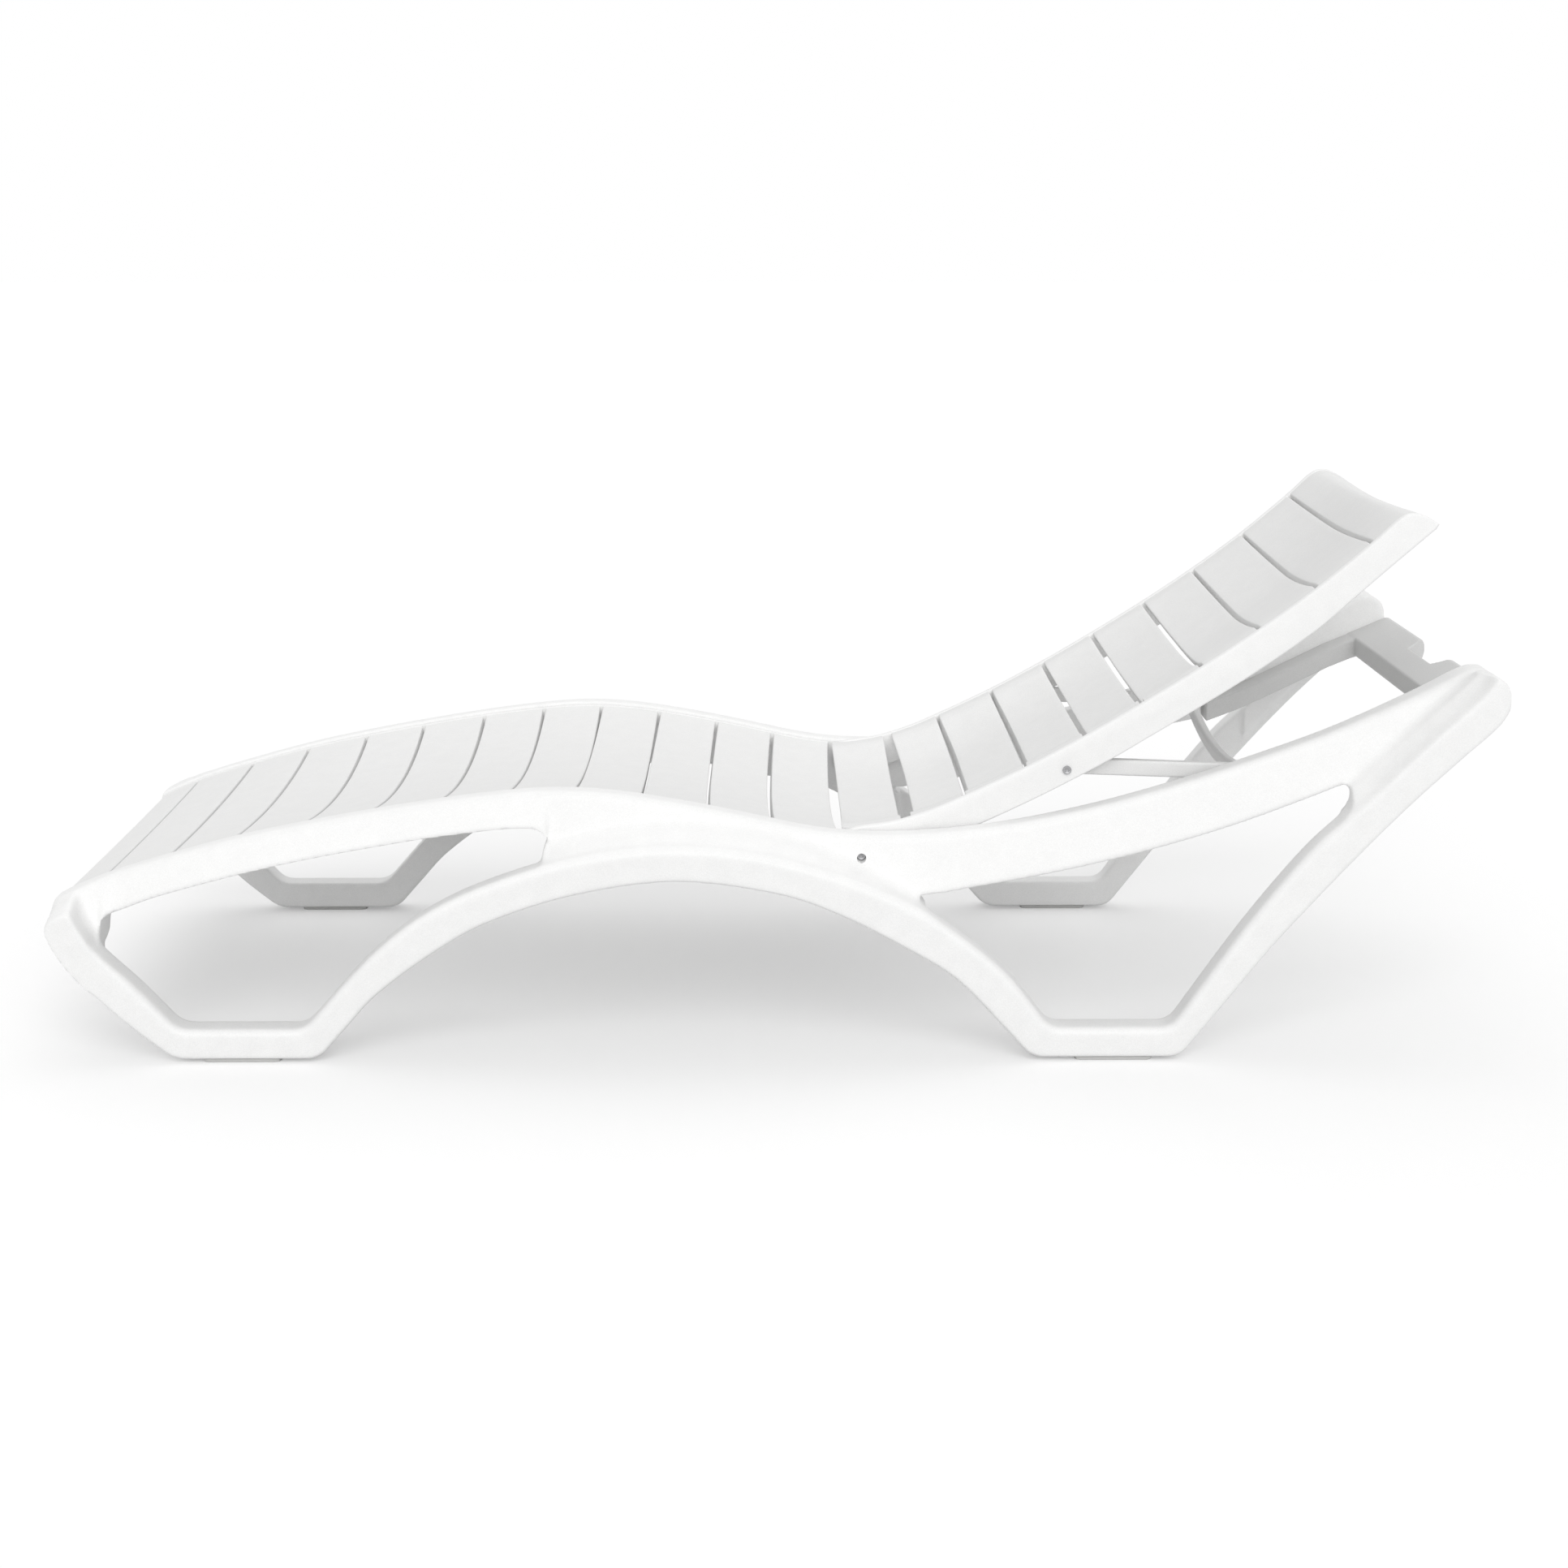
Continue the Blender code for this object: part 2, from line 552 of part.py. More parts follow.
def slat_mesh(name, path, drops, curves, half_width, dish_half, flange, tip_flange, stations):
    """An open channel slat: skin and two flanges, dished across its width, as a thin sheet.

    The path holds the (x, z) points of the slat's top at its ends, one by one from front to rear.
    """
    p = np.array(path)
    steps = np.diff(p, axis=0)
    along = steps / np.linalg.norm(steps, axis=1)[:, None]
    along = np.vstack([along[:1], (along[:-1] + along[1:]) / 2, along[-1:]])
    up = np.column_stack([-along[:, 1], along[:, 0]])
    rows = [(0, 0.0, flange), (0, 0.0, SLAT_EDGE), (0, SLAT_EDGE, 0.0)]
    rows += [(i, 0.0, 0.0) for i in range(1, len(p) - 1)]
    end = len(p) - 1
    rows += [(end, -SLAT_EDGE, 0.0), (end, 0.0, SLAT_EDGE), (end, 0.0, tip_flange)]
    bm = bmesh.new()
    grid = []
    for share in stations:
        line = []
        for i, forward, down in rows:
            dish = drops[i] * max(0.0, 1 - (abs(share) * half_width / dish_half) ** curves[i])
            point = p[i] + along[i] * forward - up[i] * (down + dish + SLAT_SINK)
            line.append(bm.verts.new((point[0], share * half_width, point[1])))
        grid.append(line)
    for one, two in zip(grid, grid[1:]):
        for i in range(len(rows) - 1):
            bm.faces.new((one[i], one[i + 1], two[i + 1], two[i]))
    sheet = bpy.data.meshes.new(name)
    bm.to_mesh(sheet)
    bm.free()
    holder = bpy.data.objects.new(name, sheet)
    bpy.context.scene.collection.objects.link(holder)
    shell = holder.modifiers.new("Skin", "SOLIDIFY")
    shell.thickness = SLAT_SKIN
    shell.offset = -1.0
    shell.use_even_offset = True
    graph = bpy.context.evaluated_depsgraph_get()
    solid = bpy.data.meshes.new_from_object(holder.evaluated_get(graph))
    bpy.data.objects.remove(holder)
    bm = bmesh.new()
    bm.from_mesh(solid)
    return clean_mesh(bm, name)


def deck_edge():
    """The deck's top edge along the rail, front to rear."""
    front, rear = DECK_FRONT_SHARE * FRAME_LENGTH, DECK_REAR_SHARE * FRAME_LENGTH
    rail = smooth(scaled(RAIL_TOP_SHARES), 6)
    return [(x, height_at(rail, x) - DECK_BELOW_RAIL) for x in np.linspace(front, rear, CURB_STATIONS)]


def deck_slats():
    edge = deck_edge()
    cuts = [share * FRAME_LENGTH for share in DECK_SLOT_SHARES]
    fronts = [edge[0][0]] + [x + DECK_SLOT / 2 for x in cuts]
    rears = [x - DECK_SLOT / 2 for x in cuts] + [edge[-1][0]]
    slats = []
    for front, rear in zip(fronts, rears):
        xs = (front, rear)
        path = [(x, height_at(edge, x)) for x in xs]
        drops = [DECK_DISH * share_at(DECK_DISH_SHARES, x / FRAME_LENGTH) for x in xs]
        flange = SLAT_FLANGE / 2 if front == fronts[0] else SLAT_FLANGE
        slats.append(slat_mesh("deck slat", path, drops, (2.0, 2.0),
                               DECK_HALF_WIDTH - DECK_CURB + SLAT_ROOT, DECK_HALF_WIDTH, flange,
                               SLAT_FLANGE, DECK_STATION_SHARES))
    return mixed("deck slats", slats)


def cheek_outline():
    hinge = hinge_point()
    top = smooth(scaled(CHEEK_TOP_SHARES, BACK_REACH, BACK_REACH), OUTLINE_PARTS)
    foot = smooth(scaled(CHEEK_FOOT_SHARES, BACK_REACH, BACK_REACH), OUTLINE_PARTS)
    return [(x + hinge[0], z + hinge[2]) for x, z in top + foot]


def back_slats():
    hinge = hinge_point()
    top = smooth(scaled(CHEEK_TOP_SHARES, BACK_REACH, BACK_REACH), 6)
    cuts = [share * BACK_REACH for share in BACK_SLOT_SHARES]
    halves = [BACK_FIRST_SLOT / 2] + [BACK_SLOT / 2] * (len(cuts) - 1)
    fronts = [CHEEK_TOP_SHARES[1][0] * BACK_REACH] + [x + h for x, h in zip(cuts, halves)]
    rears = [x - h for x, h in zip(cuts, halves)]
    slats = []
    for number, front in enumerate(fronts):
        if number < len(rears):
            xs = [front, rears[number]]
        else:
            xs = [front] + [share * BACK_REACH for share, _ in CHEEK_TOP_SHARES[-4:]]
        path = [(x + hinge[0], height_at(top, x) + hinge[2]) for x in xs]
        drops = [BACK_DISH * share_at(BACK_DISH_SHARES, x / BACK_REACH) for x in xs]
        curves = [share_at(BACK_CURVE_SHARES, x / BACK_REACH) for x in xs]
        slats.append(slat_mesh("back slat", path, drops, curves,
                               CHEEK_OUTER_Y - CHEEK + SLAT_ROOT, BACK_DISH_HALF_WIDTH, BACK_FLANGE,
                               SLAT_EDGE * 2 if number == len(rears) else BACK_FLANGE,
                               BACK_STATION_SHARES))
    return mixed("back slats", slats)


def hinge_point():
    return (HINGE_X_SHARE * FRAME_LENGTH, 0.0, HINGE_Z_SHARE * FRAME_HEIGHT)


def prop_point():
    return (PROP_PIN_X_SHARE * FRAME_LENGTH, 0.0, PROP_PIN_Z_SHARE * FRAME_HEIGHT)


def foot_point():
    return (PROP_FOOT_X_SHARE * FRAME_LENGTH, 0.0, PROP_FOOT_Z_SHARE * FRAME_HEIGHT)


def side_matrix(x, y, z, side):
    """Stands a turned piece, made along +Z, at a point so that it runs outward along Y on that side."""
    return Matrix.Translation((x, side * y, z)) @ Matrix.Rotation(math.radians(-90.0 * side), 4, "X")


def bolt_mesh(name, seat, end):
    """A socket-head bolt whose head seats at one |Y| value and whose shank runs in to another."""
    length = seat - end
    return turned_mesh(name, (
        (0.0, -length), (PIN_RADIUS - SLAT_EDGE / 3, -length), (PIN_RADIUS, -length + SLAT_EDGE / 3),
        (PIN_RADIUS, 0.0), (PIN_HEAD_RADIUS, 0.0), (PIN_HEAD_RADIUS, PIN_HEAD - SLAT_EDGE / 3),
        (PIN_HEAD_RADIUS - SLAT_EDGE / 3, PIN_HEAD), (PIN_SOCKET_RADIUS, PIN_HEAD),
        (PIN_SOCKET_RADIUS, PIN_HEAD - PIN_SOCKET), (0.0, PIN_HEAD - PIN_SOCKET),
    ))


def ring_mesh(name, inner, outer, height, steps=ROUND_STEPS):
    """A plain ring that stands on Z zero."""
    return turned_mesh(name, ((inner, 0.0), (outer, 0.0), (outer, height), (inner, height), (inner, 0.0)),
                       steps)


def screw_mesh(length):
    return turned_mesh("screw", (
        (0.0, length), (SCREW_RADIUS, length - SCREW_HEAD), (SCREW_RADIUS, 0.0),
        (SCREW_HEAD_RADIUS, 0.0), (SCREW_HEAD_RADIUS, -SCREW_HEAD / 2),
        (SCREW_HEAD_RADIUS - SCREW_HEAD / 2, -SCREW_HEAD), (0.0, -SCREW_HEAD),
    ), SCREW_STEPS)


def deck_screw_points():
    edge = deck_edge()
    seat = DECK_HALF_WIDTH - DECK_CURB
    return [(share * FRAME_LENGTH, seat, height_at(edge, share * FRAME_LENGTH) - DECK_SCREW_DROP)
            for share in DECK_SCREW_SHARES]


def cradle_screw_points():
    ledge = smooth(scaled(LEDGE_TOP_SHARES), 4)
    seat = LEDGE_OUTER_Y - LEDGE_WALL
    return [(share * FRAME_LENGTH, seat, height_at(ledge, share * FRAME_LENGTH) - CRADLE_SCREW_DROP)
            for share in CRADLE_SCREW_SHARES]


def nose_screw_points():
    seat = BEAM_HALF_LENGTH - BEAM_WALL
    return [(x, seat, z) for x, z in scaled(NOSE_SCREW_SHARES)]


def stepped_bore(x, z, side, start, seat, end):
    """A pin's bore from one |Y| value, which widens at the seat of the pin's head and runs on to the end."""
    narrow, wide = PIN_RADIUS + PIN_PLAY, PIN_BORE_RADIUS
    bore = turned_mesh("stepped bore", (
        (0.0, start - seat), (narrow, start - seat), (narrow, 0.0), (wide, 0.0), (wide, end - seat),
        (0.0, end - seat)))
    bore.transform(side_matrix(x, seat, z, side))
    return bore


def sunk_bore(x, z, side, start, seat, end):
    """A screw's bore that is wide from the start to the seat of its head and narrow from there on."""
    narrow, wide = SCREW_RADIUS + SCREW_PLAY, SCREW_HEAD_RADIUS + SCREW_PLAY
    bore = turned_mesh("sunk bore", (
        (0.0, start - seat), (wide, start - seat), (wide, 0.0), (narrow, 0.0), (narrow, end - seat),
        (0.0, end - seat)), SCREW_STEPS)
    bore.transform(side_matrix(x, seat, z, side))
    return bore


def bores_mesh(points, side, length=SCREW_LENGTH):
    """Clearance bores for a row of screws on one side, from inside their heads to beyond their tips."""
    rods = []
    for x, seat, z in points:
        rods.append(rod_mesh("bore", SCREW_RADIUS + SCREW_PLAY, side * (seat - SCREW_HEAD),
                             side * (seat + length + SCREW_PLAY), x, z, SCREW_STEPS))
    return mixed("bores", rods)


def build_side_frame(label, side, material, parts, cutters):
    origin = (0.0, side * RAIL_INNER_Y, 0.0)
    frame = new_piece("side_frame_" + label, rail_mesh(side), material, parts, origin)
    leg = outline_mesh("leg", leg_outline(), side * LEG_INNER_Y, side * FRAME_WIDTH / 2, LEG_EDGE)
    for mesh in (leg, middle_web(side), nose_web(side), ear_web(side)):
        boolean(frame, helper(mesh.name + " " + label, mesh, cutters), "UNION")
    hinge = hinge_point()
    inside = RAIL_INNER_Y - SLAT_EDGE
    cuts = [
        stepped_bore(hinge[0], hinge[2], side, inside, PIN_SEAT_Y - GAP, PIN_BORE_OUT_Y),
        rod_mesh("tube socket", TUBE_RADIUS + TUBE_PLAY, side * inside,
                 side * (RAIL_INNER_Y + TUBE_SEAT + GAP), TUBE_X_SHARE * FRAME_LENGTH,
                 TUBE_Z_SHARE * FRAME_HEIGHT),
        bores_mesh(deck_screw_points() + cradle_screw_points() + nose_screw_points(), side),
        bores_mesh(rack_screw_points(), side, RACK_SCREW_LENGTH),
    ]
    for share in PAD_X_SHARES:
        cuts.append(peg_mesh("peg bore", share * FRAME_LENGTH, side, PAD_PEG_PLAY))
    boolean(frame, helper("frame bores " + label, mixed("frame bores", cuts), cutters), "DIFFERENCE")
    soften(frame)
    return frame


def build_mirrored(name, piece, material, parts):
    """The same piece for the other side, mirrored in Y."""
    bpy.context.view_layer.update()
    graph = bpy.context.evaluated_depsgraph_get()
    mesh = bpy.data.meshes.new_from_object(piece.evaluated_get(graph))
    mesh.transform(Matrix.Scale(-1.0, 4, (0.0, 1.0, 0.0)) @ piece.matrix_world)
    mesh.flip_normals()
    x, y, z = piece.location
    return new_piece(name, mesh, material, parts, (x, -y, z))


def peg_mesh(name, x, side, play):
    """A pad's peg, which stands in a bore of the foot."""
    bm = bmesh.new()
    low, high = PAD_HEIGHT - SLAT_EDGE / 2, PAD_HEIGHT + PAD_PEG + play
    radius = PAD_PEG_RADIUS + play
    bmesh.ops.create_cone(bm, cap_ends=True, segments=SCREW_STEPS, radius1=radius, radius2=radius,
                          depth=high - low)
    y = side * (LEG_INNER_Y + FRAME_WIDTH / 2) / 2
    bmesh.ops.transform(bm, matrix=Matrix.Translation((x, y, (low + high) / 2)), verts=bm.verts)
    return clean_mesh(bm, name)


def build_pad(name, x, side, material, parts, cutters):
    y = side * (LEG_INNER_Y + FRAME_WIDTH / 2) / 2
    half, wide = PAD_LENGTH / 2, PAD_WIDTH / 2
    corners = [(x - half, y - wide), (x + half, y - wide), (x + half, y + wide), (x - half, y + wide)]
    plate = outline_mesh("pad", rounded(corners, PAD_CORNER), 0.0, PAD_HEIGHT, SLAT_EDGE / 3, False)
    pad = new_piece(name, plate, material, parts, (x, y, 0.0))
    boolean(pad, helper("peg of " + name, peg_mesh("peg", x, side, 0.0), cutters), "UNION")
    soften(pad)


def build_deck(material, parts, cutters):
    edge = deck_edge()
    deck = new_piece("bed_deck", deck_slats(), material, parts, (0.0, 0.0, edge[-1][1]))
    outline = edge + [(x, z - DECK_CURB_DEPTH) for x, z in reversed(edge)]
    outline[len(edge)] = (edge[-1][0], edge[-1][1] - DECK_CURB_DEPTH)
    outline[-1] = (edge[0][0], edge[0][1] - DECK_CURB_DEPTH / 2)
    outer, inner = DECK_HALF_WIDTH, DECK_HALF_WIDTH - DECK_CURB
    for label, side in (("left", -1), ("right", 1)):
        curb = outline_mesh("deck curb", outline, side * inner, side * outer, 0.0)
        boolean(deck, helper("deck curb " + label, curb, cutters), "UNION")
    for label, side in (("left", -1), ("right", 1)):
        boolean(deck, helper("deck bores " + label, bores_mesh(deck_screw_points(), side), cutters),
                "DIFFERENCE")
    soften(deck)
    return deck


def build_backrest(material, parts, cutters, axis):
    hinge = hinge_point()
    panel = new_piece("backrest_panel", back_slats(), material, parts, hinge, axis)
    outline = cheek_outline()
    prop = prop_point()
    for label, side in (("left", -1), ("right", 1)):
        cheek = outline_mesh("cheek", outline, side * (CHEEK_OUTER_Y - CHEEK), side * CHEEK_OUTER_Y, 0.0)
        boolean(panel, helper("cheek " + label, cheek, cutters), "UNION")
    for label, side in (("left", -1), ("right", 1)):
        inner = CHEEK_OUTER_Y - CHEEK - SLAT_EDGE
        outer = CHEEK_OUTER_Y + SLAT_EDGE
        cuts = (
            rod_mesh("bush bore", BUSH_RADIUS + PIN_PLAY, side * inner, side * outer, hinge[0], hinge[2]),
            stepped_bore(prop[0], prop[2], side, inner, PROP_SEAT_Y - GAP, outer),
        )
        boolean(panel, helper("cheek bores " + label, mixed("cheek bores", cuts), cutters), "DIFFERENCE")
    soften(panel)
    return panel


def build_prop(material, parts, cutters, axis):
    pin, foot = prop_point(), foot_point()
    run = math.atan2(foot[2] - pin[2], foot[0] - pin[0])
    outline = []
    for degrees in (90, 120, 150, 180, 210, 240, 270):
        turn = run + math.radians(degrees)
        outline.append((pin[0] + PROP_EYE_RADIUS * math.cos(turn), pin[2] + PROP_EYE_RADIUS * math.sin(turn)))
    for rise, angles in ((0.0, (-90, -60, -30, 0)), (PROP_FOOT_RISE, (0, 30, 60, 90))):
        for degrees in angles:
            turn = math.radians(degrees)
            outline.append((foot[0] + PROP_FOOT_RADIUS * math.cos(turn),
                            foot[2] + rise + PROP_FOOT_RADIUS * math.sin(turn)))
    arms = [outline_mesh("prop arm", outline, side * (PROP_OUTER_Y - PROP_ARM), side * PROP_OUTER_Y,
                         SLAT_EDGE / 2) for side in (-1, 1)]
    rings = []
    reach = PROP_OUTER_Y - PROP_ARM / 2
    cut = PROP_FOOT_RADIUS * 0.6
    high, low = PROP_FOOT_RISE + PROP_FOOT_RADIUS, PROP_BAR_LIFT - PROP_FOOT_RADIUS
    for y in np.linspace(-reach, reach, PROP_STATIONS):
        bow = PROP_BOW * (1 - (y / reach) ** 2)
        ring = ((-cut, low), (cut, low), (PROP_FOOT_RADIUS, low + cut), (PROP_FOOT_RADIUS, high - cut),
                (cut, high), (-cut, high), (-PROP_FOOT_RADIUS, high - cut), (-PROP_FOOT_RADIUS, low + cut))
        rings.append([(foot[0] + u, y, foot[2] + v - bow) for u, v in ring])
    bail = new_piece("prop_bail", mixed("prop arms", arms), material, parts, pin, axis)
    boolean(bail, helper("prop bar", loft_mesh("prop bar", rings), cutters), "UNION")
    for label, side in (("left", -1), ("right", 1)):
        trunnion = rod_mesh("trunnion", PROP_FOOT_RADIUS, side * (PROP_OUTER_Y - PROP_ARM / 3),
                            side * PROP_TRUNNION_Y, foot[0], foot[2])
        boolean(bail, helper("trunnion " + label, trunnion, cutters), "UNION")
    for label, side in (("left", -1), ("right", 1)):
        bore = rod_mesh("eye bore", PIN_RADIUS + PIN_PLAY, side * (PROP_OUTER_Y - PROP_ARM - SLAT_EDGE),
                        side * (PROP_OUTER_Y + SLAT_EDGE), pin[0], pin[2])
        boolean(bail, helper("eye bore " + label, bore, cutters), "DIFFERENCE")
    soften(bail)
    return bail


def band(top, depth):
    """A closed outline under a left-to-right run, down by one depth."""
    return top + [(x, z - depth) for x, z in reversed(top)]


def build_cradle(material, parts, cutters):
    ledge = smooth(scaled(LEDGE_TOP_SHARES), OUTLINE_PARTS)
    start, end = (share * FRAME_LENGTH for share in LEDGE_POCKET_SHARES)
    pocket = [(x, z - LEDGE_SKIN) for x, z in between(ledge, start, end)]
    tail = outline_mesh("tail", scaled(TAIL_SHARES), -LEDGE_OUTER_Y, LEDGE_OUTER_Y)
    cradle = new_piece("rear_cradle", tail, material, parts, (ledge[-1][0], 0.0, ledge[-1][1]))
    adds, cuts = [], []
    hold = HOLD_MOUTH + HOLD_WALL
    for label, side in (("left", -1), ("right", 1)):
        adds.append(("ledge " + label, outline_mesh("ledge", band(ledge, LEDGE_DEPTH),
                                                    side * LEDGE_INNER_Y, side * LEDGE_OUTER_Y)))
        cuts.append(("ledge pocket " + label, outline_mesh(
            "ledge pocket", band(pocket, LEDGE_DEPTH), side * (LEDGE_INNER_Y + LEDGE_WALL),
            side * (LEDGE_OUTER_Y - LEDGE_WALL))))
        cuts.append(("tail pocket " + label, outline_mesh(
            "tail pocket", scaled(TAIL_POCKET_SHARES), side * hold, side * (LEDGE_OUTER_Y - LEDGE_WALL))))
        cuts.append(("cradle bores " + label, bores_mesh(cradle_screw_points(), side)))
    cuts.append(("tail front pocket", outline_mesh("tail front pocket", scaled(TAIL_FRONT_POCKET_SHARES),
                                                   -hold + HOLD_WALL, hold - HOLD_WALL)))
    throat, mouth = HOLD_THROAT_SHARE * FRAME_LENGTH, FRAME_LENGTH / 2 + HOLD_WALL
    mouth_half = HOLD_MOUTH + (HOLD_MOUTH - HOLD_THROAT) * HOLD_WALL / (FRAME_LENGTH / 2 - throat)
    trapezoid = [(throat, -HOLD_THROAT), (mouth, -mouth_half), (mouth, mouth_half), (throat, HOLD_THROAT)]
    cuts.append(("hand hold", outline_mesh("hand hold", trapezoid, HOLD_LOW_SHARE * FRAME_HEIGHT,
                                           FRAME_HEIGHT, 0.0, False)))
    for name, mesh in adds:
        boolean(cradle, helper(name, mesh, cutters), "UNION")
    for name, mesh in cuts:
        boolean(cradle, helper(name, mesh, cutters), "DIFFERENCE")
    soften(cradle)
    return cradle


def rack_screw_points():
    return [(x, RACK_INNER_Y + RACK_SCREW_SINK, z) for x, z in scaled(RACK_SCREW_SHARES)]


def build_rack(label, side, material, sleeve, parts, cutters):
    """The notched bar for the foot of the prop on one side, and the spacers that hold it off the rail."""
    line = scaled(RACK_TOP_SHARES)
    mesh = outline_mesh("rack", line + scaled(RACK_FOOT_SHARES), side * RACK_INNER_Y, side * RACK_OUTER_Y)
    rack = new_piece("prop_rack_" + label, mesh, material, parts, (line[0][0], side * RACK_INNER_Y, line[0][1]))
    cuts = []
    for share in NOTCH_SHARES:
        x = share * FRAME_LENGTH
        z = height_at(line, x) + PROP_FOOT_RADIUS - NOTCH_DEPTH
        cuts.append(rod_mesh("notch", PROP_FOOT_RADIUS, side * (RACK_INNER_Y - SLAT_EDGE),
                             side * (RACK_OUTER_Y + SLAT_EDGE), x, z, SCREW_STEPS * 2))
    for x, seat, z in rack_screw_points():
        cuts.append(sunk_bore(x, z, side, RACK_INNER_Y - SLAT_EDGE, seat, RACK_OUTER_Y + SLAT_EDGE))
    boolean(rack, helper("rack cuts " + label, mixed("rack cuts", cuts), cutters), "DIFFERENCE")
    soften(rack)
    near, far = RACK_OUTER_Y + GAP, RAIL_INNER_Y - GAP
    for number, (x, _, z) in enumerate(rack_screw_points(), 1):
        spacer = ring_mesh("rack spacer", SCREW_RADIUS + SCREW_PLAY, RACK_SPACER_RADIUS, far - near)
        spacer.transform(side_matrix(x, near, z, side))
        title = "rack_spacer_%s_%d" % (label, number)
        soften(new_piece(title, spacer, sleeve, parts, (x, side * near, z)))


def build_nose_beam(material, parts, cutters):
    beam = new_piece("front_cross_member",
                     outline_mesh("nose beam", scaled(NOSE_BEAM_SHARES), -BEAM_HALF_LENGTH, BEAM_HALF_LENGTH),
                     material, parts, (NOSE_BEAM_SHARES[0][0] * FRAME_LENGTH, 0.0, 0.0))
    inner = BEAM_HALF_LENGTH - BEAM_WALL
    pocket = outline_mesh("nose pocket", scaled(NOSE_POCKET_SHARES), -inner, inner)
    boolean(beam, helper("nose pocket", pocket, cutters), "DIFFERENCE")
    for label, side in (("left", -1), ("right", 1)):
        boolean(beam, helper("nose bores " + label, bores_mesh(nose_screw_points(), side), cutters),
                "DIFFERENCE")
    soften(beam)


def build_tube(material, parts):
    reach = RAIL_INNER_Y + TUBE_SEAT
    tube = ring_mesh("tube", TUBE_BORE_RADIUS, TUBE_RADIUS, reach * 2)
    x, z = TUBE_X_SHARE * FRAME_LENGTH, TUBE_Z_SHARE * FRAME_HEIGHT
    tube.transform(side_matrix(x, -reach, z, 1))
    piece = new_piece("hinge_cross_tube", tube, material, parts, (x, 0.0, z))
    soften(piece)


def build_pins(steel, sleeve, parts, back_axis):
    hinge, prop = hinge_point(), prop_point()
    for label, side in (("left", -1), ("right", 1)):
        bolt = bolt_mesh("hinge bolt", PIN_SEAT_Y, PIN_END_Y)
        bolt.transform(side_matrix(hinge[0], PIN_SEAT_Y, hinge[2], side))
        soften(new_piece("hinge_bolt_" + label, bolt, steel, parts, (hinge[0], side * PIN_SEAT_Y, hinge[2])))
        cheek_inner = CHEEK_OUTER_Y - CHEEK
        nut = ring_mesh("hinge nut", PIN_RADIUS + NUT_PLAY, NUT_RADIUS, NUT, NUT_STEPS)
        nut.transform(side_matrix(hinge[0], cheek_inner - NUT_GAP - NUT, hinge[2], side))
        new_piece("hinge_nut_" + label, nut, steel, parts, (hinge[0], side * cheek_inner, hinge[2]))
        seat = RAIL_INNER_Y - GAP - CHEEK_OUTER_Y
        bush = turned_mesh("hinge bush", (
            (PIN_RADIUS + PIN_PLAY, -CHEEK), (BUSH_RADIUS, -CHEEK), (BUSH_RADIUS, seat - BUSH_FLANGE),
            (BUSH_FLANGE_RADIUS, seat - BUSH_FLANGE), (BUSH_FLANGE_RADIUS, seat),
            (PIN_RADIUS + PIN_PLAY, seat), (PIN_RADIUS + PIN_PLAY, -CHEEK)))
        bush.transform(side_matrix(hinge[0], CHEEK_OUTER_Y, hinge[2], side))
        soften(new_piece("hinge_bush_" + label, bush, sleeve, parts,
                         (hinge[0], side * CHEEK_OUTER_Y, hinge[2]), back_axis))
        arm_inner = PROP_OUTER_Y - PROP_ARM
        pin = bolt_mesh("prop bolt", PROP_SEAT_Y, arm_inner - NUT - GAP)
        pin.transform(side_matrix(prop[0], PROP_SEAT_Y, prop[2], side))
        soften(new_piece("prop_bolt_" + label, pin, steel, parts,
                         (prop[0], side * PROP_SEAT_Y, prop[2]), back_axis))
        washer = ring_mesh("prop washer", PIN_RADIUS + PIN_PLAY, WASHER_RADIUS,
                           cheek_inner - PROP_OUTER_Y - GAP * 2)
        washer.transform(side_matrix(prop[0], PROP_OUTER_Y + GAP, prop[2], side))
        soften(new_piece("prop_spacer_" + label, washer, sleeve, parts,
                         (prop[0], side * PROP_OUTER_Y, prop[2]), back_axis))
        cap = ring_mesh("prop nut", PIN_RADIUS + NUT_PLAY, NUT_RADIUS, NUT, NUT_STEPS)
        cap.transform(side_matrix(prop[0], arm_inner - GAP - NUT, prop[2], side))
        new_piece("prop_nut_" + label, cap, steel, parts, (prop[0], side * arm_inner, prop[2]), back_axis)


def build_screws(name, points, material, parts, length=SCREW_LENGTH):
    """One screw object for each point and side."""
    for label, side in (("left", -1), ("right", 1)):
        for number, (x, seat, z) in enumerate(points, 1):
            screw = screw_mesh(length)
            screw.transform(side_matrix(x, seat - GAP, z, side))
            title = "%s_%s_%d" % (name, label, number) if len(points) > 1 else "%s_%s" % (name, label)
            soften(new_piece(title, screw, material, parts, (x, side * seat, z)))


